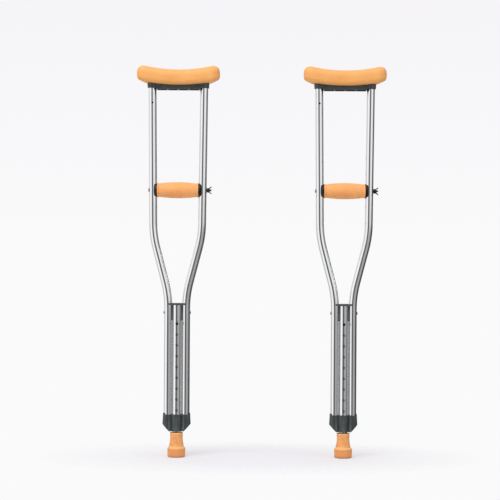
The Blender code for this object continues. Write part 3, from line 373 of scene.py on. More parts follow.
FORK_TOP = FORK_BOTTOM + FORK_RISE
BRACKET_FLOOR = BRACKET_BOTTOM + BRACKET_FLOOR_RISE
SIDE_TUBE_BOTTOM = BRACKET_FLOOR + REST_GAP
TIP_WASHER_BOTTOM = TIP_SOLE + REST_GAP
FOOT_TUBE_BOTTOM = TIP_WASHER_BOTTOM + TIP_WASHER_THICKNESS + REST_GAP
FOOT_TUBE_TOP = BUTTON_HEIGHT + FOOT_TUBE_ABOVE_BUTTON
SPACER_MIDDLE = SLEEVE_TOP + REST_GAP + SPACER_THICKNESS / 2
CROSS_RIVET_HEIGHT = SLEEVE_TOP - CROSS_RIVET_DROP
BRACKET_RIVET_HEIGHT = BRACKET_BOTTOM + BRACKET_RIVET_RISE
SADDLE_PIN_HEIGHT = SIDE_TUBE_TOP - SADDLE_PIN_DROP
GRIP_HEIGHT = LOWEST_GRIP_HOLE + GRIP_HOLE_IN_USE * GRIP_HOLE_PITCH
GRIP_PLACE = (0, 0, GRIP_HEIGHT)
GRIP_HOLE_DIAMETER = BOLT_DIAMETER + BOLT_PLAY
HEIGHT_HOLE_DIAMETER = BUTTON_DIAMETER + BUTTON_PLAY
SPRING_BACK_DROP = SPRING_DROP / 3
SADDLE_END_REACH = TOP_REACH + SIDE_TUBE_RADIUS + SADDLE_PAST_TUBE
TONGUE_REACH = SADDLE_END_REACH - TONGUE_SETBACK
PAD_UNDERSIDE = SIDE_TUBE_TOP + PAD_ABOVE_TUBES
PAD_SLOPE_REACH = SADDLE_END_REACH + PAD_SLOPE_PAST_SADDLE
PAD_SLOPE_END = PAD_SLOPE_REACH + PAD_SLOPE_RUN
PAD_REACH = PAD_SLOPE_END + PAD_PAST_SLOPE
PAD_CREST_REACH = PAD_REACH - PAD_CREST_ROUND
PAD_PLAN_REACH = PAD_REACH - PAD_PLAN_ROUND
TUBE_LEAN = (TOP_REACH - FORK_REACH) / (SIDE_TUBE_TOP - FORK_TOP)
SADDLE_SHOULDER = SIDE_TUBE_TOP + SIDE_TUBE_RADIUS * TUBE_LEAN + REST_GAP


def tube_reach(height):
    """Distance from the crutch's middle to a side tube's centre line, above the fork."""
    return FORK_REACH + (height - FORK_TOP) * TUBE_LEAN


def depth_in_foot(half_width):
    """How far from the middle of the foot tube a flat piece may lie, clear of the bore's flat sides."""
    bore = FOOT_BORE_RADIUS * math.cos(math.pi / TUBE_SIDES)
    return math.sqrt(bore**2 - half_width**2) - REST_GAP


# The button and the two legs of its spring, as distances from the middle of the foot tube
BUTTON_BACK = depth_in_foot(BUTTON_FLANGE_DIAMETER / 2) - BUTTON_FLANGE_THICKNESS
SPRING_FRONT = BUTTON_BACK - REST_GAP - SPRING_THICKNESS / 2
SPRING_BACK = depth_in_foot(SPRING_WIDTH / 2) - SPRING_THICKNESS / 2

# The grip fills the span between the side tubes at its own height
GRIP_TUBE_REACH = tube_reach(GRIP_HEIGHT)
GRIP_SEAT = GRIP_TUBE_REACH - SIDE_TUBE_RADIUS - GRIP_COLLAR_DIAMETER / 2 * TUBE_LEAN - REST_GAP
GRIP_OUTSIDE = GRIP_TUBE_REACH + SIDE_TUBE_RADIUS + REST_GAP
CAP_BOSS_FACE = GRIP_SEAT - CAP_WEB
CORE_REACH = CAP_BOSS_FACE - REST_GAP
CORE_BORE_RADIUS = GRIP_CORE_DIAMETER / 2 - GRIP_CORE_WALL
NUT_SEAT = GRIP_OUTSIDE + WASHER_THICKNESS + REST_GAP


def in_workshop(data, location=(0, 0, 0), towards=None):
    """A new object in the workshop, with its Z axis turned towards a direction."""
    thing = bpy.data.objects.new("thing", data)
    workshop.objects.link(thing)
    thing.location = location
    if towards is not None:
        thing.rotation_euler = Vector(towards).to_track_quat("Z", "Y").to_euler()
    return thing


def evaluated_mesh(thing):
    graph = bpy.context.evaluated_depsgraph_get()
    return bpy.data.meshes.new_from_object(thing.evaluated_get(graph))


def solid_from(shape):
    """A bmesh as a new solid in the workshop."""
    mesh = bpy.data.meshes.new("solid")
    shape.to_mesh(mesh)
    shape.free()
    return in_workshop(mesh)


def curve_to_mesh(curve_object):
    """A curve object turned into a mesh object, with its caps welded on."""
    bpy.context.view_layer.update()
    shape = bmesh.new()
    shape.from_mesh(evaluated_mesh(curve_object))
    bmesh.ops.remove_doubles(shape, verts=shape.verts, dist=WELD)
    solid = solid_from(shape)
    solid.matrix_world = curve_object.matrix_world
    bpy.data.objects.remove(curve_object)
    return solid


def softened(profile, radius, closed=False):
    """The profile with a small arc in place of each sharp corner off its axis."""
    points = []
    for index, point in enumerate(profile):
        here = Vector(point)
        into = Vector(profile[index - 1]) - here
        out = Vector(profile[(index + 1) % len(profile)]) - here
        at_end = not closed and index in (0, len(profile) - 1)
        if at_end or point[0] == 0 or into.angle(out) > SOFT_ANGLE:
            points.append(point)
            continue
        reach = radius / math.tan(into.angle(out) / 2)
        reach = min(reach, into.length * SOFT_REACH, out.length * SOFT_REACH)
        first = into.normalized() * reach
        last = out.normalized() * reach
        for step in range(SOFT_STEPS + 1):
            share = step / SOFT_STEPS
            points.append(tuple(here + first * (1 - share) ** 2 + last * share**2))
    return points


def turned(profile, place=(0, 0, 0), towards=None, sides=TURNED_SIDES, closed=False):
    """A solid turned about Z from (radius, height) points that run down its outer side."""
    points = [(radius, 0.0, height) for radius, height in profile]
    links = [(index, index + 1) for index in range(len(points) - 1)]
    if closed:
        links.append((len(points) - 1, 0))
    mesh = bpy.data.meshes.new("solid")
    mesh.from_pydata(points, links, [])
    solid = in_workshop(mesh, place, towards)
    screw = solid.modifiers.new("Turn", "SCREW")
    screw.steps = sides
    screw.use_merge_vertices = True
    screw.merge_threshold = WELD
    return solid


def ring(outer, inner, top, bottom, soft, **placing):
    """A straight tube or washer with softened edges."""
    profile = [(outer, top), (outer, bottom), (inner, bottom), (inner, top)]
    return turned(softened(profile, soft, True), closed=True, **placing)


def rods(radius, runs, sides, turn=0.0):
    """Round bars from start points to end points, as one object."""
    shape = bmesh.new()
    for start, end in runs:
        axis = Vector(end) - Vector(start)
        aim = axis.to_track_quat("Z", "Y").to_matrix().to_4x4() @ Matrix.Rotation(turn, 4, "Z")
        place = Matrix.Translation((Vector(start) + Vector(end)) / 2) @ aim
        size = {"radius1": radius, "radius2": radius, "depth": axis.length}
        bmesh.ops.create_cone(shape, cap_ends=True, segments=sides, matrix=place, **size)
    return solid_from(shape)


def column(radius, bottom, top):
    """A round bar up the middle of the crutch."""
    return rods(radius, [((0, 0, bottom), (0, 0, top))], TUBE_SIDES)


def boxes(corners):
    """Boxes from their lowest to their highest corners, as one object."""
    shape = bmesh.new()
    for low, high in corners:
        size = Vector(high) - Vector(low)
        place = Matrix.Translation((Vector(low) + Vector(high)) / 2) @ Matrix.Diagonal((*size, 1))
        bmesh.ops.create_cube(shape, size=1, matrix=place)
    return solid_from(shape)


def straight_runs(curve, points):
    """Adds straight runs through (x, y, z) points to a curve."""
    spline = curve.splines.new("POLY")
    spline.points.add(len(points) - 1)
    for point, place in zip(spline.points, points):
        point.co = (*place, 1)
    return spline


def flat_outline(points, thickness):
    """A filled outline in its object's XY plane, extruded to a thickness about it."""
    curve = bpy.data.curves.new("outline", "CURVE")
    curve.dimensions = "2D"
    curve.fill_mode = "BOTH"
    curve.extrude = thickness / 2
    spline = straight_runs(curve, [(across, along, 0) for across, along in points])
    spline.use_cyclic_u = True
    return in_workshop(curve)


def front_shape(points, depth):
    """A solid with an (x, z) outline, and its depth centred on the crutch."""
    outline = flat_outline(points, depth)
    outline.rotation_euler = (math.pi / 2, 0, 0)
    return curve_to_mesh(outline)


def plan_shape(points, thickness, height):
    """A solid with an (x, y) outline seen from above, and its middle at a height."""
    solid = curve_to_mesh(flat_outline(points, thickness))
    solid.location.z = height
    return solid


def arc(centre, radius, start, end, steps):
    """Points on an arc in a plane, from one angle to another."""
    angles = [start + (end - start) * step / steps for step in range(steps + 1)]
    return [(centre[0] + radius * math.cos(a), centre[1] + radius * math.sin(a)) for a in angles]


def rounded_box(across, along, corner):
    """The outline of a rectangle with round corners, about the origin."""
    points = []
    for quarter, (side, end) in enumerate(((1, 1), (-1, 1), (-1, -1), (1, -1))):
        centre = (side * (across / 2 - corner), end * (along / 2 - corner))
        points += arc(centre, corner, quarter * math.pi / 2, (quarter + 1) * math.pi / 2, CORNER_STEPS)
    return points


def combine(solid, operation, *others):
    """Cuts the solid with others, or joins them."""
    for other in others:
        modifier = solid.modifiers.new("Combine", "BOOLEAN")
        modifier.operation = operation
        modifier.solver = "EXACT"
        modifier.object = other


def cut(solid, *names):
    """Cuts named holes and spaces out of the solid."""
    combine(solid, "DIFFERENCE", *[cutters[name] for name in names])


def thicken(solid, thickness, offset):
    """Gives a skin a thickness: inwards at an offset of -1, both ways at 0."""
    wall = solid.modifiers.new("Wall", "SOLIDIFY")
    wall.thickness = thickness
    wall.offset = offset
    wall.use_even_offset = True


def round_edges(solid, width, angle=40, segments=3):
    bevel = solid.modifiers.new("Round edges", "BEVEL")
    bevel.width = width
    bevel.segments = segments
    bevel.limit_method = "ANGLE"
    bevel.angle_limit = math.radians(angle)
    bevel.use_clamp_overlap = True


def rounded_path(corners, radius, steps):
    """Straight runs between corners, with an arc tangent to both at each inner corner."""
    points = [corners[0]]
    for before, corner, after in zip(corners, corners[1:], corners[2:]):
        into = (Vector(before) - Vector(corner)).normalized()
        out = (Vector(after) - Vector(corner)).normalized()
        half_turn = (math.pi - into.angle(out)) / 2
        centre = Vector(corner) + (into + out).normalized() * radius / math.cos(half_turn)
        setback = radius * math.tan(half_turn)
        first = Vector(corner) + into * setback - centre
        last = Vector(corner) + out * setback - centre
        start = math.atan2(first.y, first.x)
        sweep = (math.atan2(last.y, last.x) - start + math.pi) % (2 * math.pi) - math.pi
        points += arc(centre, radius, start, start + sweep, steps)
    return points + [corners[-1]]


def side_tube_path(side, lengthen=0.0):
    """Centre line of a side tube, as (x, z) points from its top down."""
    corners = [
        (TOP_REACH, SIDE_TUBE_TOP),
        (FORK_REACH, FORK_TOP),
        (COLUMN_REACH, FORK_BOTTOM),
        (COLUMN_REACH, SIDE_TUBE_BOTTOM - lengthen),
    ]
    path = rounded_path(corners, BEND_RADIUS, BEND_STEPS)
    return [(side * across, height) for across, height in path]


def bent_bar(path, radius, capped):
    """A round bar or open skin along (x, z) points."""
    curve = bpy.data.curves.new("outline", "CURVE")
    curve.dimensions = "3D"
    curve.bevel_depth = radius
    # A bevel has four sides, and two more for each step of its resolution
    curve.bevel_resolution = TUBE_SIDES // 2 - 2
    curve.use_fill_caps = capped
    straight_runs(curve, [(across, 0, height) for across, height in path])
    return curve_to_mesh(in_workshop(curve))


def loft(rings):
    """A closed skin through rings of equally many points, with flat ends."""
    shape = bmesh.new()
    loops = [[shape.verts.new(point) for point in points] for points in rings]
    for near, far in zip(loops, loops[1:]):
        for index in range(len(near)):
            after = (index + 1) % len(near)
            shape.faces.new((near[index], near[after], far[after], far[index]))
    shape.faces.new(loops[0][::-1])
    shape.faces.new(loops[-1])
    bmesh.ops.recalc_face_normals(shape, faces=shape.faces)
    return solid_from(shape)


def level_runs(beyond, heights):
    """Runs from left to right, a tube's width past a distance from the middle."""
    reach = beyond + SIDE_TUBE_DIAMETER
    return [((-reach, 0, height), (reach, 0, height)) for height in heights]


def front_runs(heights):
    """Runs from the sleeve's middle out through its front."""
    return [((0, 0, height), (0, -SLEEVE_DIAMETER, height)) for height in heights]


def saddle_pin_seat(side):
    """Where a saddle pin's head meets its tube, and where its shank points."""
    across = side * tube_reach(SADDLE_PIN_HEIGHT)
    start = Vector((across, side * (SIDE_TUBE_RADIUS + REST_GAP), SADDLE_PIN_HEIGHT))
    return start, Vector((0, -side, 0))


def bracket_skin_radius(height):
    """Radius of a bracket's outer lobe, which narrows towards its top."""
    share = (height - BRACKET_BOTTOM) / BRACKET_HEIGHT
    wall = BRACKET_WALL + share * (BRACKET_TOP_WALL - BRACKET_WALL)
    return SIDE_TUBE_RADIUS + REST_GAP + wall


def bracket_rivet_seat(side):
    """Where a bracket rivet's head meets its lobe, and where its shank points."""
    depth = bracket_skin_radius(BRACKET_RIVET_HEIGHT) + REST_GAP
    return Vector((side * COLUMN_REACH, depth, BRACKET_RIVET_HEIGHT)), Vector((0, -1, 0))


def shank_runs(seat_on, length):
    """The run of a pin's shank on each side, with a gap past both ends."""
    runs = []
    for side in (-1, 1):
        start, inwards = seat_on(side)
        runs.append((start - inwards * REST_GAP, start + inwards * (length + REST_GAP)))
    return runs


def make_cutters():
    """The drilled holes, turned so that no edge of theirs meets an edge of a tube, and the other spaces."""
    grips = [LOWEST_GRIP_HOLE + step * GRIP_HOLE_PITCH for step in range(GRIP_HOLE_COUNT)]
    buttons = [BUTTON_HEIGHT - step * HEIGHT_HOLE_PITCH for step in range(HEIGHT_HOLE_COUNT)]
    pin_runs = shank_runs(saddle_pin_seat, SADDLE_PIN_LENGTH)
    rivet_runs = shank_runs(bracket_rivet_seat, BRACKET_RIVET_LENGTH)
    cross_runs = level_runs(COLUMN_REACH, [CROSS_RIVET_HEIGHT])
    holes = {
        "grip_holes": (GRIP_HOLE_DIAMETER / 2, level_runs(GRIP_OUTSIDE, grips)),
        "height_holes": (HEIGHT_HOLE_DIAMETER / 2, front_runs(buttons)),
        "button_hole": (HEIGHT_HOLE_DIAMETER / 2, front_runs([BUTTON_HEIGHT])),
        "cross_rivet_hole": (CROSS_RIVET_DIAMETER / 2 + HOLE_GAP, cross_runs),
        "bolt_hole": (BOLT_DIAMETER / 2 + HOLE_GAP, level_runs(GRIP_OUTSIDE, [GRIP_HEIGHT])),
        "saddle_pin_holes": (SADDLE_PIN_DIAMETER / 2 + HOLE_GAP, pin_runs),
        "bracket_rivet_holes": (BRACKET_RIVET_DIAMETER / 2 + HOLE_GAP, rivet_runs),
    }
    made = {}
    for name, (radius, runs) in holes.items():
        made[name] = rods(radius, runs, HOLE_SIDES, math.pi / HOLE_SIDES)
    for side in (-1, 1):
        space = bent_bar(side_tube_path(side, REST_GAP), SIDE_TUBE_RADIUS + REST_GAP, True)
        made[f"side_tube_space_{side}"] = space
    ends = (SLEEVE_BOTTOM - REST_GAP, SLEEVE_TOP + REST_GAP)
    made["sleeve_space"] = column(SLEEVE_RADIUS + REST_GAP, *ends)
    made["tongue_space"] = tongue(REST_GAP)
    return made


def side_tube(side):
    """A bent tube with its grip holes, cross rivet hole and pin holes."""
    tube = bent_bar(side_tube_path(side), SIDE_TUBE_RADIUS, False)
    thicken(tube, SIDE_TUBE_WALL, -1)
    cut(tube, "grip_holes", "cross_rivet_hole", "saddle_pin_holes", "bracket_rivet_holes")
    return tube


def centre_tube():
    tube = ring(SLEEVE_RADIUS, SLEEVE_BORE_RADIUS, SLEEVE_TOP, SLEEVE_BOTTOM, TUBE_EDGE)
    cut(tube, "height_holes", "cross_rivet_hole")
    return tube


def foot_tube():
    tube = ring(FOOT_TUBE_RADIUS, FOOT_BORE_RADIUS, FOOT_TUBE_TOP, FOOT_TUBE_BOTTOM, TUBE_EDGE)
    cut(tube, "button_hole")
    return tube


def pad_underside(across, lift=0.0):
    """Height of the arc that the pad and the saddle meet on."""
    radius = PAD_UNDERSIDE_RADIUS - lift
    return PAD_UNDERSIDE + PAD_UNDERSIDE_RADIUS - math.sqrt(radius**2 - across**2)


def pad_top(across):
    middle = PAD_UNDERSIDE + PAD_THICKNESS
    return middle + PAD_TOP_RADIUS - math.sqrt(PAD_TOP_RADIUS**2 - across**2)


def end_share(across, start, end):
    """How much of its full size the pad keeps on the way from a start to its end."""
    share = max(0.0, (across - start) / (end - start))
    return (1 - min(share, 1.0) ** PAD_END_POWER) ** (1 / PAD_END_POWER)


def eased_slope(past):
    """How far the end's slope has climbed at a distance past its soft start."""
    if past < PAD_SLOPE_EASE:
        return math.tan(PAD_SLOPE) * past**2 / (2 * PAD_SLOPE_EASE)
    return math.tan(PAD_SLOPE) * (past - PAD_SLOPE_EASE / 2)


def pad_section(across):
    """Lowest height, highest height and half depth at a distance from the middle."""
    end_height = PAD_UNDERSIDE + PAD_END_RISE
    crest = pad_top(min(across, PAD_CREST_REACH))
    high = end_height + (crest - end_height) * end_share(across, PAD_CREST_REACH, PAD_REACH)
    low = pad_underside(min(across, PAD_SLOPE_REACH))
    low += eased_slope(max(0.0, across - PAD_SLOPE_REACH))
    low = end_height + (low - end_height) * end_share(across, PAD_SLOPE_END, PAD_REACH)
    half_depth = PAD_DEPTH / 2 * end_share(across, PAD_PLAN_REACH, PAD_REACH)
    return low, high, half_depth


def pad_ring(across):
    """Points round the pad at one distance: crowned on top, flatter underneath."""
    low, high, half_depth = pad_section(abs(across))
    middle = (low + high) / 2
    points = []
    for index in range(PAD_SIDES):
        angle = 2 * math.pi * (index + 0.5) / PAD_SIDES
        power = PAD_TOP_POWER if math.sin(angle) > 0 else PAD_UNDER_POWER
        depth = math.copysign(abs(math.cos(angle)) ** (2 / power), math.cos(angle))
        rise = math.copysign(abs(math.sin(angle)) ** (2 / power), math.sin(angle))
        points.append((across, half_depth * depth, middle + (high - low) / 2 * rise))
    return points


def underarm_pad():
    """The crowned pad, dished along its length, with a pocket for the saddle's tongue."""
    right = [PAD_SLOPE_REACH * step / PAD_STEPS for step in range(PAD_STEPS)]
    right += [PAD_SLOPE_REACH + PAD_SLOPE_RUN * step / PAD_SLOPE_STEPS for step in range(PAD_SLOPE_STEPS)]
    ends = [math.pi / 2 * (step / PAD_END_STEPS) for step in range(PAD_END_STEPS)]
    right += [PAD_SLOPE_END + PAD_PAST_SLOPE * math.sin(angle) for angle in ends]
    right.append(PAD_REACH - PAD_TIP)
    stations = [-across for across in reversed(right[1:])] + right
    pad = loft([pad_ring(across) for across in stations])
    cut(pad, "tongue_space")
    return pad


def tongue(gap):
    """The slab on top of the saddle, or with a gap the pocket that it fills in the pad."""
    reach = TONGUE_REACH + gap
    stations = [reach * (2 * step / CURVE_STEPS - 1) for step in range(CURVE_STEPS + 1)]
    top = [(across, pad_underside(across, TONGUE_HEIGHT + gap)) for across in reversed(stations)]
    under = [(across, pad_underside(across) - SADDLE_APRON) for across in stations]
    return front_shape(under + top, TONGUE_DEPTH + 2 * gap)


def saddle_outline():
    """The saddle from the front: an apron between the tubes, and a top that follows the pad."""
    top_reach = SADDLE_END_REACH + SADDLE_END_FLARE
    apron_reach = TOP_REACH - SIDE_TUBE_RADIUS - 2 * REST_GAP
    stations = [top_reach * (1 - 2 * step / CURVE_STEPS) for step in range(CURVE_STEPS + 1)]
    top = [(across, pad_underside(across) - REST_GAP) for across in stations]
    under = [
        (-SADDLE_END_REACH, SADDLE_SHOULDER),
        (-apron_reach, SADDLE_SHOULDER),
        (-apron_reach, SADDLE_SHOULDER - SADDLE_APRON),
    ]
    return top + under + [(-across, height) for across, height in reversed(under)]


def saddle_plug(side):
    """A plug with a tapered point that fills the top of a side tube."""
    radius = SIDE_TUBE_RADIUS - SIDE_TUBE_WALL - REST_GAP
    bottom = SIDE_TUBE_TOP - PLUG_LENGTH
    end = Vector((side * tube_reach(bottom), 0, bottom))
    top = Vector((side * tube_reach(SIDE_TUBE_TOP), 0, SIDE_TUBE_TOP))
    length = (top - end).length + SADDLE_APRON
    profile = [(0, length), (radius, length), (radius, PLUG_POINT), (radius - PLUG_TAPER, 0), (0, 0)]
    return turned(profile, end, top - end, TUBE_SIDES)


def saddle_pockets():
    """Pockets that core out the apron from below, with ribs between them."""
    reach = TOP_REACH - SIDE_TUBE_RADIUS - POCKET_WALL
    pitch = (2 * reach + POCKET_WALL) / POCKET_COUNT
    half_depth = SADDLE_DEPTH / 2 - POCKET_WALL
    bottom = SADDLE_SHOULDER - SADDLE_APRON
    corners = []
    for index in range(POCKET_COUNT):
        start = -reach + index * pitch
        low = (start, -half_depth, bottom - POCKET_WALL)
        high = (start + pitch - POCKET_WALL, half_depth, bottom + POCKET_RISE)
        corners.append((low, high))
    return boxes(corners)


def saddle():
    """The platform with flared ends, and its tongue, plugs and pockets."""
    body = front_shape(saddle_outline(), SADDLE_DEPTH * 2)
    plan = rounded_box(2 * (SADDLE_END_REACH + SADDLE_END_FLARE), SADDLE_DEPTH, SADDLE_CORNER)
    # The plan's shape is far taller than the saddle, so it trims only the saddle's sides
    combine(body, "INTERSECT", plan_shape(plan, SIDE_TUBE_TOP, SIDE_TUBE_TOP))
    round_edges(body, SADDLE_EDGE, angle=50, segments=4)
    combine(body, "UNION", saddle_plug(-1), saddle_plug(1), tongue(0.0))
    combine(body, "DIFFERENCE", saddle_pockets())
    cut(body, "saddle_pin_holes")
    return body


def domed_head(radius, rise):
    """Side of a low dome, as (radius, height) points from its crown to its rim."""
    angles = [math.pi / 2 * step / DOME_STEPS for step in range(DOME_STEPS + 1)]
    return [(radius * math.sin(angle), rise * math.cos(angle)) for angle in angles]


def headed_pin(seat, diameter, length, head_diameter, head_height):
    """A pin with a low domed head, whose shank starts at its seat."""
    start, towards = seat
    radius = diameter / 2
    profile = domed_head(head_diameter / 2, head_height) + [(radius, 0), (radius, -length), (0, -length)]
    return turned(profile, start, -towards, PIN_SIDES)


def saddle_pin(side):
    sizes = (SADDLE_PIN_DIAMETER, SADDLE_PIN_LENGTH, SADDLE_PIN_HEAD, SADDLE_PIN_HEAD_HEIGHT)
    return headed_pin(saddle_pin_seat(side), *sizes)


def bracket_rivet(side):
    sizes = (BRACKET_RIVET_DIAMETER, BRACKET_RIVET_LENGTH, BRACKET_RIVET_HEAD, BRACKET_RIVET_HEAD_HEIGHT)
    return headed_pin(bracket_rivet_seat(side), *sizes)


def grip_profile():
    """The grip's right half, as (radius, distance from the middle) points from its end."""
    collar = GRIP_COLLAR_DIAMETER / 2
    neck = GRIP_NECK_DIAMETER / 2
    collar_start = GRIP_SEAT - GRIP_COLLAR_WIDTH
    crown = GRIP_DIAMETER / 2 - neck
    barrel_radius = (collar_start**2 + crown**2) / (2 * crown)
    centre = GRIP_DIAMETER / 2 - barrel_radius
    points = [(collar, GRIP_SEAT), (collar, collar_start + GRIP_COLLAR_SLOPE)]
    points.append((neck - GRIP_GROOVE, collar_start))
    for step in range(GRIP_STEPS, 0, -1):
        along = (collar_start - GRIP_COLLAR_ROUND) * step / GRIP_STEPS
        points.append((centre + math.sqrt(barrel_radius**2 - along**2), along))
    return points


def grip_sleeve():
    """The barrel grip, with a bore for its core and a seat for each cap's boss."""
    outer = grip_profile()
    outer += [(GRIP_DIAMETER / 2, 0.0)] + [(radius, -along) for radius, along in reversed(outer)]
    bore = GRIP_CORE_DIAMETER / 2 + REST_GAP
    seat = CAP_BOSS_DIAMETER / 2 + REST_GAP
    seat_floor = CAP_BOSS_FACE - REST_GAP
    inner = [(seat, -GRIP_SEAT), (seat, -seat_floor), (bore, -seat_floor)]
    inner += [(radius, -along) for radius, along in reversed(inner)]
    profile = softened(outer + inner, GRIP_COLLAR_ROUND, True)
    return turned(profile, GRIP_PLACE, RIGHTWARDS, closed=True)


def grip_core():
    placing = {"place": GRIP_PLACE, "towards": RIGHTWARDS, "sides": PIN_SIDES}
    radii = (GRIP_CORE_DIAMETER / 2, CORE_BORE_RADIUS)
    return ring(*radii, CORE_REACH, -CORE_REACH, TUBE_EDGE, **placing)


def grip_cap(side):
    """An end cap: a spigot in the core, a boss in the grip, and arms that hug the side tube."""
    disc = CAP_DIAMETER / 2
    disc_face = GRIP_SEAT + REST_GAP
    end = GRIP_SEAT + CAP_REACH
    boss = CAP_BOSS_DIAMETER / 2
    spigot = CORE_BORE_RADIUS - REST_GAP
    spigot_end = CAP_BOSS_FACE - CAP_SPIGOT_LENGTH
    profile = [(0, end), (disc, end), (disc, disc_face), (boss, disc_face), (boss, CAP_BOSS_FACE)]
    profile += [(spigot, CAP_BOSS_FACE), (spigot, spigot_end), (0, spigot_end)]
    cap = turned(profile, GRIP_PLACE, (side, 0, 0))
    cut(cap, f"side_tube_space_{side}")
    round_edges(cap, MOULDED_EDGE)
    cut(cap, "bolt_hole")
    return cap


def thread_radius(along, turn):
    """Radius of the thread at a distance along the bolt and a share of a turn round it."""
    share = (along / THREAD_PITCH - turn) % 1.0
    return BOLT_DIAMETER / 2 - THREAD_DEPTH * (1 - abs(2 * share - 1))


def grip_bolt():
    """The bolt, from its domed head on the left tube to the thread that the nut runs on."""
    length = GRIP_OUTSIDE + NUT_SEAT + NUT_HEIGHT + BOLT_PAST_NUT
    radius = BOLT_DIAMETER / 2
    smooth = [(across, -rise) for across, rise in domed_head(BOLT_HEAD_DIAMETER / 2, BOLT_HEAD_HEIGHT)[1:]]
    smooth += [(radius + BOLT_FILLET, 0.0), (radius, BOLT_FILLET), (radius, length - THREAD_LENGTH)]
    turns = [step / PIN_SIDES for step in range(PIN_SIDES)]
    loops = [[(across, along)] * PIN_SIDES for across, along in smooth]
    for step in range(1, THREAD_STEPS + 1):
        along = length - THREAD_LENGTH + THREAD_LENGTH * step / THREAD_STEPS
        limit = min(radius, radius - BOLT_POINT + (length - along))
        loops.append([(min(thread_radius(along, turn), limit), along) for turn in turns])
    rings = []
    for loop in loops:
        rings.append([])
        for (size, along), turn in zip(loop, turns):
            angle = 2 * math.pi * turn
            spot = (along - GRIP_OUTSIDE, size * math.cos(angle), GRIP_HEIGHT + size * math.sin(angle))
            rings[-1].append(spot)
    return loft(rings)


def grip_washer():
    placing = {"place": (GRIP_OUTSIDE, 0, GRIP_HEIGHT), "towards": RIGHTWARDS, "sides": PIN_SIDES}
    radii = (WASHER_DIAMETER / 2, BOLT_DIAMETER / 2 + HOLE_GAP)
    return ring(*radii, WASHER_THICKNESS, 0, FINE_EDGE, **placing)


def wing_outline():
    """One wing laid flat: a strip with a round end."""
    half = WING_WIDTH / 2
    root = WING_ROOT_WIDTH / 2
    end = arc((WING_LENGTH - half, 0), half, -math.pi / 2, math.pi / 2, WING_END_STEPS)
    return [(0, root), (0, -root)] + end


def wing_nut():
    """A pressed wing nut: a turned hub, and two wings bent out from its base."""
    rim = NUT_DIAMETER / 2
    hub = [(0, NUT_HEIGHT), (NUT_NOSE_DIAMETER / 2, NUT_HEIGHT), (rim, WING_ROOT), (rim, 0), (0, 0)]
    nut = turned(softened(hub, FINE_EDGE), (NUT_SEAT, 0, GRIP_HEIGHT), RIGHTWARDS, PIN_SIDES)
    for up in (-1, 1):
        wing = flat_outline(wing_outline(), WING_THICKNESS)
        wing.location = (NUT_SEAT + WING_ROOT, 0, GRIP_HEIGHT + up * (BOLT_DIAMETER / 2 + HOLE_GAP))
        wing.rotation_euler = (0, -up * WING_ANGLE, 0)
        solid = curve_to_mesh(wing)
        round_edges(solid, WING_EDGE, angle=50, segments=4)
        combine(nut, "UNION", solid)
    cut(nut, "bolt_hole")
    return nut


def spacer_legs():
    """Bars in the four grooves between the sleeve and the side tubes, before they are cut."""
    inner = SLEEVE_RADIUS * math.cos(math.asin(LEG_OUTER_DEPTH / SLEEVE_RADIUS))
    outer = COLUMN_REACH - SIDE_TUBE_RADIUS * math.cos(math.asin(LEG_OUTER_DEPTH / SIDE_TUBE_RADIUS))
    bottom = SLEEVE_TOP - LEG_LENGTH
    corners = []
    for side in (-1, 1):
        across = sorted((side * inner, side * outer))
        for face in (-1, 1):
            depth = sorted((face * LEG_INNER_DEPTH, face * LEG_OUTER_DEPTH))
            corners.append(((across[0], depth[0], bottom), (across[1], depth[1], SPACER_MIDDLE)))
    return boxes(corners)


def top_spacer():
    """The plug on the sleeve: a flange that hugs the side tubes, four legs and a spigot."""
    flange = rounded_box(SPACER_WIDTH, SPACER_DEPTH, SPACER_CORNER)
    spacer = plan_shape(flange, SPACER_THICKNESS, SPACER_MIDDLE)
    round_edges(spacer, SPACER_EDGE, angle=60)
    combine(spacer, "UNION", spacer_legs())
    cut(spacer, *COLUMN_SPACES)
    ends = (SLEEVE_TOP - SPACER_SPIGOT_LENGTH, SPACER_MIDDLE)
    combine(spacer, "UNION", column(SLEEVE_BORE_RADIUS - REST_GAP, *ends))
    cut(spacer, "cross_rivet_hole")
    return spacer


def cross_rivet():
    """A rivet across the column, with a domed head outside each side tube."""
    reach = COLUMN_REACH + SIDE_TUBE_RADIUS + REST_GAP
    dome = domed_head(CROSS_RIVET_HEAD / 2, CROSS_RIVET_HEAD_HEIGHT)
    half = [(radius, reach + rise) for radius, rise in dome] + [(CROSS_RIVET_DIAMETER / 2, reach)]
    profile = half + [(radius, -along) for radius, along in reversed(half)]
    return turned(profile, (0, 0, CROSS_RIVET_HEIGHT), RIGHTWARDS, PIN_SIDES)


def bracket_lobes():
    """Two upright lobes that narrow upwards round the side tubes, and one round the sleeve."""
    top = BRACKET_BOTTOM + BRACKET_HEIGHT + BRACKET_HORN
    outer = (bracket_skin_radius(BRACKET_BOTTOM), bracket_skin_radius(top))
    middle = (SLEEVE_RADIUS + REST_GAP + BRACKET_CENTRE_WALL,) * 2
    lobes = []
    for across, (low, high) in ((-COLUMN_REACH, outer), (COLUMN_REACH, outer), (0, middle)):
        profile = [(0, top), (high, top), (low, BRACKET_BOTTOM), (0, BRACKET_BOTTOM)]
        lobes.append(turned(profile, (across, 0, 0)))
    return lobes


def bracket_outline():
    """The bracket from the front: sloping shoulders below, and a horn at each top corner."""
    top = BRACKET_BOTTOM + BRACKET_HEIGHT
    shoulder = BRACKET_BOTTOM + BRACKET_SHOULDER_RISE
    side = COLUMN_REACH + bracket_skin_radius(shoulder)
    half = [(BRACKET_FLAT_REACH, BRACKET_BOTTOM), (side, shoulder), (side, top + BRACKET_HORN)]
    half += [(BRACKET_HORN_REACH, top + BRACKET_HORN), (BRACKET_HORN_REACH, top)]
    return half + [(-across, height) for across, height in reversed(half)]


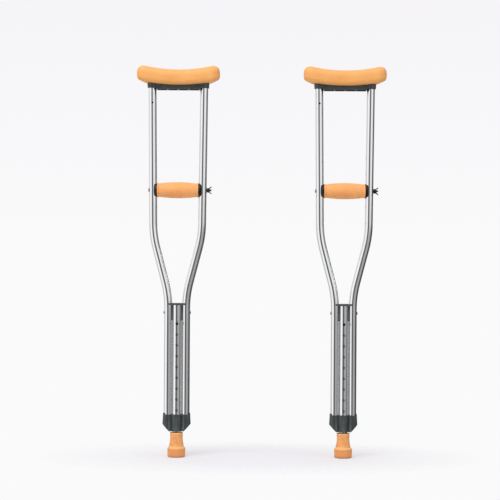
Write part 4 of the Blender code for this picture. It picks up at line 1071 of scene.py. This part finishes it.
def bottom_bracket():
    """The bracket: its lobes within its outline, with sockets for three tubes."""
    outer, other, centre = bracket_lobes()
    combine(centre, "UNION", outer, other)
    combine(centre, "INTERSECT", front_shape(bracket_outline(), SLEEVE_DIAMETER * 2))
    round_edges(centre, MOULDED_EDGE, angle=30)
    cut(centre, *COLUMN_SPACES)
    combine(centre, "DIFFERENCE", column(FOOT_TUBE_RADIUS + SLIDE_GAP, 0, SLEEVE_TOP))
    cut(centre, "bracket_rivet_holes")
    return centre


def snap_button():
    """A flange behind the sleeve's hole, and a domed end that stands through it."""
    radius = BUTTON_DIAMETER / 2
    flange = BUTTON_FLANGE_DIAMETER / 2
    rim = SLEEVE_RADIUS + BUTTON_PROUD - BUTTON_BACK - BUTTON_DOME
    profile = [(across, rim + rise) for across, rise in domed_head(radius, BUTTON_DOME)]
    profile += [(radius, BUTTON_FLANGE_THICKNESS), (flange, BUTTON_FLANGE_THICKNESS), (flange, 0), (0, 0)]
    place = (0, -BUTTON_BACK, BUTTON_HEIGHT)
    return turned(softened(profile, FINE_EDGE), place, (0, -1, 0), PIN_SIDES)


def spring_path():
    """The leaf spring from the side, as (y, z) points down its front leg and up its back leg."""
    top = BUTTON_HEIGHT + SPRING_ABOVE_BUTTON
    low = BUTTON_HEIGHT - SPRING_ABOVE_BUTTON
    bend = ((SPRING_BACK - SPRING_FRONT) / 2, top - SPRING_DROP)
    corners = [(-SPRING_FRONT, top), (-SPRING_FRONT, low), bend, (SPRING_BACK, top - SPRING_BACK_DROP)]
    return rounded_path(corners, SPRING_BEND_RADIUS, CORNER_STEPS)


def button_spring():
    """A strip of steel bent to a V, with its front leg behind the button."""
    shape = bmesh.new()
    loops = []
    for across in (-SPRING_WIDTH / 2, SPRING_WIDTH / 2):
        loops.append([shape.verts.new((across, depth, height)) for depth, height in spring_path()])
    left, right = loops
    for index in range(len(left) - 1):
        shape.faces.new((left[index], left[index + 1], right[index + 1], right[index]))
    spring = solid_from(shape)
    thicken(spring, SPRING_THICKNESS, 0)
    round_edges(spring, SPRING_EDGE, angle=60, segments=2)
    return spring


def tread_profile():
    """The tread's ribs and grooves, as (radius, height) points from its edge inwards."""
    radius = TIP_BASE_DIAMETER / 2 - TIP_EDGE_ROUND
    points = []
    for _ in range(TREAD_GROOVES):
        radius -= TREAD_RIB
        points += [(radius, 0), (radius, TREAD_DEPTH)]
        radius -= TREAD_GROOVE
        points += [(radius, TREAD_DEPTH), (radius, 0)]
    return points


def neck_profile():
    """The tip's neck, which flares from its waist down, as (radius, height) points."""
    points = []
    for step in range(NECK_STEPS + 1):
        share = step / NECK_STEPS
        flare = (TIP_NECK_DIAMETER - TIP_WAIST_DIAMETER) / 2 * share**TIP_FLARE_POWER
        height = TIP_WAIST_HEIGHT + (TIP_SHOULDER_HEIGHT - TIP_WAIST_HEIGHT) * share
        points.append((TIP_WAIST_DIAMETER / 2 + flare, height))
    return points


def tip():
    """The rubber tip: a mouth and socket, a flared neck, and a wide ribbed base."""
    socket = FOOT_TUBE_RADIUS + REST_GAP
    mouth = TIP_MOUTH_DIAMETER / 2
    mouth_floor = TIP_HEIGHT - TIP_MOUTH_DEPTH
    edge_centre = (TIP_BASE_DIAMETER / 2 - TIP_EDGE_ROUND, TIP_EDGE_ROUND)
    profile = [(0, TIP_SOLE), (socket, TIP_SOLE), (socket, mouth_floor)]
    profile += [(mouth, mouth_floor + TIP_MOUTH_SLOPE), (mouth, TIP_HEIGHT)]
    profile += [(TIP_TOP_DIAMETER / 2, TIP_HEIGHT)] + neck_profile()
    profile.append((TIP_SHOULDER_DIAMETER / 2, TIP_SHOULDER_HEIGHT - TIP_SHOULDER_SLOPE))
    profile += arc(edge_centre, TIP_EDGE_ROUND, 0, -math.pi / 2, TIP_EDGE_STEPS) + tread_profile() + [(0, 0)]
    return turned(softened(profile, TIP_RIM_ROUND))


def tip_washer():
    """A steel disc that keeps the foot tube from cutting through the sole."""
    top = TIP_WASHER_BOTTOM + TIP_WASHER_THICKNESS
    radius = FOOT_TUBE_RADIUS
    profile = [(0, top), (radius, top), (radius, TIP_WASHER_BOTTOM), (0, TIP_WASHER_BOTTOM)]
    return turned(softened(profile, FINE_EDGE), sides=TUBE_SIDES)


def set_tube_normals(mesh, line):
    """Turns a tube's normals away from its centre line, so that holes leave no mark."""
    line = np.array([(across, 0.0, height) for across, height in line])
    starts, runs = line[:-1], np.diff(line, axis=0)
    lengths = (runs**2).sum(1)

    def outwards(points):
        offsets = points[:, None, :] - starts[None]
        shares = np.clip((offsets * runs[None]).sum(2) / lengths, 0, 1)
        away = offsets - shares[..., None] * runs[None]
        nearest = (away**2).sum(2).argmin(1)
        found = away[np.arange(len(points)), nearest]
        return found / np.linalg.norm(found, axis=1, keepdims=True)

    normals = np.empty(len(mesh.loops) * 3, np.float32)
    mesh.corner_normals.foreach_get("vector", normals)
    normals = normals.reshape(-1, 3)
    places = np.empty(len(mesh.vertices) * 3, np.float32)
    mesh.vertices.foreach_get("co", places)
    radial = outwards(places.reshape(-1, 3).astype(float))
    for polygon in mesh.polygons:
        corners = list(polygon.vertices)
        facing = float(np.array(polygon.normal) @ radial[corners].mean(0))
        if abs(facing) > SKIN_FACING:
            for loop in polygon.loop_indices:
                normals[loop] = math.copysign(1, facing) * radial[mesh.loops[loop].vertex_index]
    mesh.normals_split_custom_set(normals.tolist())


def finished_mesh(solid, name, material, line=None, weighted=False):
    """The solid's mesh with its modifiers applied, in the crutch's own frame."""
    mesh = evaluated_mesh(solid)
    mesh.transform(solid.matrix_world)
    mesh.name = name
    mesh.shade_smooth()
    mesh.set_sharp_from_angle(angle=SMOOTH_ANGLE)
    if weighted:
        holder = in_workshop(mesh)
        holder.modifiers.new("Even", "WEIGHTED_NORMAL").keep_sharp = True
        mesh = evaluated_mesh(holder)
        mesh.name = name
    if line is not None:
        set_tube_normals(mesh, line)
    mesh.materials.clear()
    mesh.materials.append(material)
    return mesh


def add_node(tree, kind, output, inputs=None, **settings):
    """One output of a new shader node, whose sockets are set to values or linked to other outputs."""
    made = tree.nodes.new("ShaderNode" + kind)
    for name, value in settings.items():
        setattr(made, name, value)
    for name, value in (inputs or {}).items():
        if isinstance(value, bpy.types.NodeSocket):
            tree.links.new(value, made.inputs[name])
        else:
            made.inputs[name].default_value = value
    return made.outputs[output]


def stretched(tree, place, stretch):
    """The coordinates scaled differently along each axis."""
    return add_node(tree, "Mapping", "Vector", {"Vector": place, "Scale": stretch})


def noise(tree, place, scale, detail=4.0, rough=0.5):
    sockets = {"Vector": place, "Scale": scale, "Detail": detail, "Roughness": rough}
    return add_node(tree, "TexNoise", "Fac", sockets)


def ramp(tree, share, stops):
    """A colour that follows a share from 0 to 1 through (position, colour or grey) stops."""
    made = add_node(tree, "ValToRGB", "Color", {"Fac": share})
    elements = made.node.color_ramp.elements
    while len(elements) < len(stops):
        elements.new(1.0)
    for element, (position, colour) in zip(elements, stops):
        element.position = position
        element.color = (*colour, 1.0) if isinstance(colour, tuple) else (colour, colour, colour, 1.0)
    return made


def span(tree, share, low, high, into_low=0.0, into_high=1.0):
    """A number carried from one span to another and kept inside it."""
    sockets = {"Value": share, "From Min": low, "From Max": high, "To Min": into_low, "To Max": into_high}
    return add_node(tree, "MapRange", "Result", sockets)


def sum_of(tree, operation, first, second):
    """The result of a sum on two numbers."""
    return add_node(tree, "Math", 0, {0: first, 1: second}, operation=operation)


def mixed(tree, share, first, second, blend_type="MIX"):
    """Two colours mixed by a share."""
    sockets = {0: share, 6: opaque(first), 7: opaque(second)}
    return add_node(tree, "Mix", 2, sockets, data_type="RGBA", blend_type=blend_type)


def raised(tree, height, distance, below=None):
    """A bump of a height in metres, on top of another bump if one is given."""
    sockets = {"Height": height, "Distance": distance, "Strength": 1.0}
    if below is not None:
        sockets["Normal"] = below
    return add_node(tree, "Bump", "Normal", sockets)


def blended(tree, share, first, second):
    """Two shaders mixed by a share."""
    return add_node(tree, "MixShader", 0, {0: share, 1: first, 2: second})


def glowing(tree, kind, colour, strength=1.0):
    """A surface or background that gives light."""
    return add_node(tree, kind, 0, {"Color": opaque(colour), "Strength": strength})


def matt(tree, colour):
    return add_node(tree, "BsdfDiffuse", 0, {"Color": opaque(colour)})


def rays(tree, kind):
    """1 for rays of one kind, else 0."""
    return add_node(tree, "LightPath", f"Is {kind} Ray")


def opaque(colour):
    """The colour with its fourth part, unless it is a socket."""
    return (*colour, 1.0) if isinstance(colour, tuple) else colour


def toned(colour, factor):
    """The colour made darker or paler."""
    return tuple(min(part * factor, PALEST) for part in colour)


def started(name, **sockets):
    """A new material with its shader's sockets set, its node tree, and the piece's own coordinates."""
    material = bpy.data.materials.new(name)
    material.use_nodes = True
    tree = material.node_tree
    for socket, value in sockets.items():
        tree.nodes["Principled BSDF"].inputs[socket.replace("_", " ")].default_value = value
    return material, tree, add_node(tree, "TexCoord", "Object")


def dressed(material, colour, rough, bump):
    """The material with a colour, a roughness and a bump linked to its shader."""
    tree = material.node_tree
    for socket, value in (("Base Color", colour), ("Roughness", rough), ("Normal", bump)):
        tree.links.new(value, tree.nodes["Principled BSDF"].inputs[socket])
    return material


def edges(tree, low, high):
    """A share that rises from 0 on flat faces to 1 on worn outer edges."""
    return span(tree, add_node(tree, "NewGeometry", "Pointiness"), low, high)


def sponge(name, pale, deep):
    """Moulded sponge: soft mottling, a skin of fine pores with painted shade in them, and a faint bloom."""
    material, tree, place = started(name, Sheen_Weight=0.08, Sheen_Roughness=0.5)
    mottle = noise(tree, place, scale=28.0, detail=5.0, rough=0.55)
    speckle = noise(tree, place, scale=520.0, detail=3.0)
    cells = add_node(tree, "TexVoronoi", "Distance", {"Vector": place, "Scale": 1500.0})
    painted_pore_shade = span(tree, cells, 0.0, 0.35, 1.0, 0.0)
    colour = ramp(tree, mottle, [(0.32, deep), (0.68, pale)])
    colour = mixed(tree, span(tree, speckle, 0.42, 0.62, 0.0, 0.10), colour, toned(deep, 0.62))
    # Painted shade in the pores: darker where the cells are deep
    colour = mixed(tree, span(tree, painted_pore_shade, 0.55, 1.0, 0.0, 0.16), colour, toned(deep, 0.45))
    bump = raised(tree, noise(tree, place, scale=170.0, detail=3.0), SPONGE_LUMPS)
    bump = raised(tree, speckle, SPONGE_SPECKS, bump)
    bump = raised(tree, cells, SPONGE_PORES, bump)
    return dressed(material, colour, span(tree, mottle, 0.3, 0.7, 0.48, 0.62), bump)


def rubber(name, pale, deep, dirt_and_shade_tone):
    """Moulded rubber with a dull skin, painted highlights on its shoulder and top rim, painted shade below
    its shoulder, and dirt with painted shade at the floor.
    """
    material, tree, place = started(name)
    mottle = noise(tree, place, scale=150.0, detail=5.0, rough=0.6)
    grain = noise(tree, place, scale=900.0)
    height = add_node(tree, "SeparateXYZ", "Z", {"Vector": place})
    colour = ramp(tree, mottle, [(0.34, deep), (0.66, pale)])
    # Painted shade: the colour deepens below the shoulder
    colour = mixed(tree, span(tree, height, *TIP_PAINTED_SHADE_SPAN, TIP_PAINTED_SHADE, 0.0), colour, deep)
    # Painted highlights: paler bands round the shoulder and the top rim
    rings = ramp(tree, span(tree, height, 0.0, TIP_HEIGHT), TIP_PAINTED_HIGHLIGHTS)
    colour = mixed(tree, rings, colour, toned(pale, 1.35))
    # Darker and browner at the floor, partly dirt and partly painted shade
    patchy = span(tree, grain, 0.35, 0.6, 0.5, 1.0)
    dirt_and_shade = sum_of(tree, "MULTIPLY", span(tree, height, *TIP_DIRT_AND_SHADE_SPAN, TIP_DIRT_AND_SHADE, 0.0), patchy)
    colour = mixed(tree, dirt_and_shade, colour, dirt_and_shade_tone)
    bump = raised(tree, grain, RUBBER_GRAIN)
    bump = raised(tree, noise(tree, place, scale=240.0, detail=2.0), RUBBER_LUMPS, bump)
    return dressed(material, colour, span(tree, mottle, 0.3, 0.7, 0.38, 0.52), bump)


def moulded(name, tone, edge_tone, rough, shine):
    """Moulded plastic with a fine spark-eroded grain, and sharp edges that are paler, partly from rubbing and
    partly as a painted highlight.
    """
    material, tree, place = started(name, Specular_IOR_Level=shine)
    cloud = noise(tree, place, scale=55.0)
    grain = noise(tree, place, scale=1700.0, detail=3.0)
    colour = ramp(tree, cloud, [(0.3, tone), (0.7, toned(tone, 1.25))])
    # Paler on the sharpest edges: partly rubbed wear, partly a painted highlight
    rubbed_and_highlit_edges = sum_of(tree, "MULTIPLY", edges(tree, 0.52, 0.62), cloud)
    colour = mixed(tree, rubbed_and_highlit_edges, colour, edge_tone)
    return dressed(material, colour, span(tree, cloud, 0.3, 0.7, *rough), raised(tree, grain, PLASTIC_GRAIN))


def drawn_tube(name, tone, rough):
    """Bright drawn metal: fine lines along the tube, and patches that are a little duller."""
    material, tree, place = started(name, Metallic=1.0)
    lines = noise(tree, stretched(tree, place, (1.0, 1.0, 0.012)), scale=1500.0, detail=3.0, rough=0.6)
    cloud = noise(tree, stretched(tree, place, (1.0, 1.0, 0.25)), scale=60.0)
    colour = ramp(tree, lines, [(0.35, toned(tone, 0.93)), (0.6, tone)])
    fine = ramp(tree, lines, [(0.3, 0.0), (0.7, 1.0)])
    broad = ramp(tree, cloud, [(0.35, 0.0), (0.65, 1.0)])
    dull = span(tree, mixed(tree, 0.45, fine, broad), 0.0, 1.0, *rough)
    return dressed(material, colour, dull, raised(tree, lines, TUBE_LINES))


def plated(name, tone, rough, edge_tone=None, metallic=1.0):
    """Plated or blackened steel with a fine grain, and bare metal on its edges if a colour is given."""
    material, tree, place = started(name, Metallic=metallic)
    cloud = noise(tree, place, scale=160.0)
    grain = noise(tree, place, scale=1400.0, detail=3.0)
    colour = ramp(tree, cloud, [(0.3, toned(tone, 0.8)), (0.7, tone)])
    if edge_tone is not None:
        colour = mixed(tree, edges(tree, 0.53, 0.68), colour, edge_tone)
    return dressed(material, colour, span(tree, cloud, 0.3, 0.7, *rough), raised(tree, grain, PLATED_GRAIN))


def in_scene(name, data, location=(0, 0, 0)):
    """A new object that stays in the scene."""
    thing = bpy.data.objects.new(name, data)
    thing.location = location
    bpy.context.scene.collection.objects.link(thing)
    return thing


def seen_share(tree):
    """1 for rays from the camera, from a mirror or through glass, else 0."""
    straight = sum_of(tree, "MAXIMUM", rays(tree, "Camera"), rays(tree, "Glossy"))
    return sum_of(tree, "MAXIMUM", straight, rays(tree, "Transmission"))


def floor_material():
    """Pale ground that fades out away from the crutches, and lets the light of lamps pass."""
    material = bpy.data.materials.new("pale_floor")
    material.use_nodes = True
    tree = material.node_tree
    tree.nodes.clear()
    place = add_node(tree, "TexCoord", "Object")
    spread = stretched(tree, place, FLOOR_SPREAD)
    distance = add_node(tree, "VectorMath", "Value", {0: spread}, operation="LENGTH")
    grain = noise(tree, place, scale=3.0, detail=3.0)
    tone = ramp(tree, grain, [(0.3, toned(FLOOR_TONE, 0.985)), (0.7, FLOOR_TONE)])
    lit = matt(tree, mixed(tree, 1.0, tone, (FLOOR_SHARE,) * 3, "MULTIPLY"))
    glow = glowing(tree, "Emission", tone, FLOOR_GLOW)
    near = add_node(tree, "AddShader", 0, {0: lit, 1: glow})
    clear = add_node(tree, "BsdfTransparent", 0)
    seen = blended(tree, span(tree, distance, *FLOOR_FADE), near, clear)
    shown = blended(tree, seen_share(tree), matt(tree, FLOOR_BOUNCE), seen)
    last = tree.nodes.new("ShaderNodeOutputMaterial")
    tree.links.new(blended(tree, rays(tree, "Shadow"), shown, clear), last.inputs["Surface"])
    return material


def make_floor():
    """A disc of floor, which lets a foot that slides down through it in a pose be lit and seen."""
    mesh = bpy.data.meshes.new("floor")
    shape = bmesh.new()
    bmesh.ops.create_circle(shape, cap_ends=True, segments=FLOOR_SIDES, radius=FLOOR_RADIUS)
    shape.to_mesh(mesh)
    shape.free()
    mesh.materials.append(floor_material())
    floor = in_scene("floor", mesh)


def studio_walls(tree, parts):
    """The walls of the studio, which turn into other tones above eye level, and its white ceiling."""
    turn = sum_of(tree, "ARCTAN2", parts["X"], sum_of(tree, "MULTIPLY", parts["Y"], -1.0))
    share = span(tree, turn, -math.pi, math.pi)
    low_walls = ramp(tree, share, [(0.5 + angle / 360, low) for angle, low, _ in STUDIO_WALLS])
    high_walls = ramp(tree, share, [(0.5 + angle / 360, high) for angle, _, high in STUDIO_WALLS])
    walls = mixed(tree, span(tree, parts["Z"], *EYE_LEVEL), low_walls, high_walls)
    return mixed(tree, span(tree, parts["Z"], *CEILING_EDGE), walls, (1.0, 1.0, 1.0))


def make_world():
    """A nearly white background, the studio's walls in what shines, and a plain level of light."""
    world = bpy.data.worlds.new("studio")
    bpy.context.scene.world = world
    world.use_nodes = True
    tree = world.node_tree
    tree.nodes.clear()
    facing = add_node(tree, "TexCoord", "Generated")
    parts = add_node(tree, "SeparateXYZ", "X", {"Vector": facing}).node.outputs
    level = span(tree, parts["Z"], 0.0, 1.0, *PLAIN_LIGHT)
    plain = glowing(tree, "Background", PLAIN_TONE, level)
    mirrored = glowing(tree, "Background", studio_walls(tree, parts))
    sky = ramp(tree, span(tree, parts["Z"], 0.0, SKY_TOP), [(0.0, HORIZON_TONE), (1.0, TOP_TONE)])
    backdrop = glowing(tree, "Background", sky)
    shine = blended(tree, seen_share(tree), plain, mirrored)
    last = tree.nodes.new("ShaderNodeOutputWorld")
    tree.links.new(blended(tree, rays(tree, "Camera"), shine, backdrop), last.inputs["Surface"])


def make_lamp(name, location, size, power):
    """A soft square lamp that faces the middle of the crutches."""
    light = bpy.data.lights.new(name, "AREA")
    light.size = size
    light.energy = power
    lamp = in_scene(name, light, location)
    lamp.rotation_euler = (Vector(LAMP_TARGET) - Vector(location)).to_track_quat("-Z", "Y").to_euler()


def make_camera():
    camera = in_scene("camera", bpy.data.cameras.new("camera"), CAMERA_PLACE)
    camera.data.sensor_width = CAMERA_SENSOR
    camera.data.lens = CAMERA_LENS
    camera.rotation_euler = (math.pi / 2, CAMERA_ROLL, 0.0)
    bpy.context.scene.camera = camera


def make_looks():
    """Each look's material, and the slot that the record has for it."""
    pad = sponge("pad_sponge", pale=(0.905, 0.430, 0.127), deep=(0.845, 0.364, 0.094))
    grip = sponge("grip_sponge", pale=(0.930, 0.420, 0.135), deep=(0.870, 0.350, 0.100))
    tan = {"pale": (0.905, 0.410, 0.146), "deep": (0.740, 0.295, 0.092), "dirt_and_shade_tone": (0.280, 0.145, 0.070)}
    slate = {"tone": (0.030, 0.036, 0.038), "edge_tone": (0.13, 0.14, 0.145), "rough": (0.24, 0.36), "shine": 0.5}
    black = {"tone": (0.008, 0.006, 0.005), "edge_tone": (0.04, 0.035, 0.03), "rough": (0.30, 0.44), "shine": 0.25}
    button = {"tone": (0.004, 0.004, 0.005), "edge_tone": (0.02, 0.02, 0.02), "rough": (0.34, 0.46), "shine": 0.12}
    dark = {"tone": (0.030, 0.027, 0.029), "edge_tone": (0.30, 0.29, 0.28), "rough": (0.32, 0.46)}
    return {
        "pad": (pad, "sponge"),
        "grip": (grip, "sponge"),
        "tip": (rubber("tan_rubber", **tan), "tan_rubber"),
        "slate": (moulded("slate_plastic", **slate), "slate_plastic"),
        "black": (moulded("black_plastic", **black), "black_plastic"),
        "button": (moulded("dark_button", **button), "dark_button"),
        "tube": (drawn_tube("bright_aluminium", tone=(0.90, 0.905, 0.92), rough=(0.06, 0.12)), "tube"),
        # The foot tube's darker tone is painted shade, so that it shows dark through the sleeve's holes; its
        # higher roughness is a duller finish
        "leg": (drawn_tube("leg_aluminium_painted_shade", tone=(0.40, 0.40, 0.41), rough=(0.10, 0.20)), "tube"),
        "steel": (plated("zinc_steel", tone=(0.50, 0.51, 0.52), rough=(0.26, 0.40)), "zinc_steel"),
        "dark_steel": (plated("blackened_steel", metallic=0.85, **dark), "dark_steel"),
    }


def planned_pieces():
    """What builds each piece of a crutch, its look and its body. A piece has the name of its function."""
    plan = [
        (underarm_pad, "pad", "crutch"),
        (saddle, "slate", "crutch"),
        (grip_sleeve, "grip", "crutch"),
        (grip_core, "tube", "crutch"),
        (grip_bolt, "steel", "crutch"),
        (grip_washer, "dark_steel", "washer"),
        (wing_nut, "dark_steel", "nut"),
        (centre_tube, "tube", "crutch"),
        (top_spacer, "slate", "crutch"),
        (cross_rivet, "steel", "crutch"),
        (bottom_bracket, "slate", "crutch"),
        (foot_tube, "leg", "foot"),
        (button_spring, "steel", "foot"),
        (snap_button, "button", "button"),
        (tip, "tip", "foot"),
        (tip_washer, "steel", "foot"),
    ]
    sided = [(side_tube, "tube"), (saddle_pin, "dark_steel"), (grip_cap, "black"), (bracket_rivet, "steel")]
    planned = [(build.__name__, build(), look, body) for build, look, body in plan]
    for word, side in (("left", -1), ("right", 1)):
        planned += [(f"{build.__name__}_{word}", build(side), look, "crutch") for build, look in sided]
    return planned


def make_pieces(looks):
    """Each piece of one crutch: node name, mesh, the body it moves with, and the record's material slot."""
    straight = [(0.0, TIP_HEIGHT), (0.0, SLEEVE_TOP)]
    lines = {"centre_tube": straight, "foot_tube": straight}
    lines["side_tube_left"] = side_tube_path(-1)
    lines["side_tube_right"] = side_tube_path(1)
    planned = planned_pieces()
    # The solids' places count only after this update
    bpy.context.view_layer.update()
    made = []
    for name, solid, look, body in planned:
        material, slot = looks[look]
        mesh = finished_mesh(solid, name, material, lines.get(name), name in EVENLY_SHADED)
        made.append((name, mesh, body, slot))
    return made


def stand_crutch(word, across, pieces):
    """Puts a crutch's pieces at its place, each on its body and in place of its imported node."""
    for name, mesh, body, slot in pieces:
        piece = in_scene(f"{word}_{name}_shown", mesh, (across, 0, 0))
        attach(piece, f"{word}_{body}")
        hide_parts(f"{word}_{name}")
        if name == "button_spring":
            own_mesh(piece)


workshop = bpy.data.collections.new("workshop")
bpy.context.scene.collection.children.link(workshop)
cutters = make_cutters()
pieces = make_pieces(make_looks())
for thing in list(workshop.objects):
    bpy.data.objects.remove(thing)
bpy.data.collections.remove(workshop)
for word, across in (("left", -CRUTCH_SPACING / 2), ("right", CRUTCH_SPACING / 2)):
    stand_crutch(word, across, pieces)

make_floor()
make_world()
make_lamp("key_lamp", **KEY_LAMP)
make_lamp("fill_lamp", **FILL_LAMP)
make_camera()
bpy.context.scene.view_settings.view_transform = "Standard"
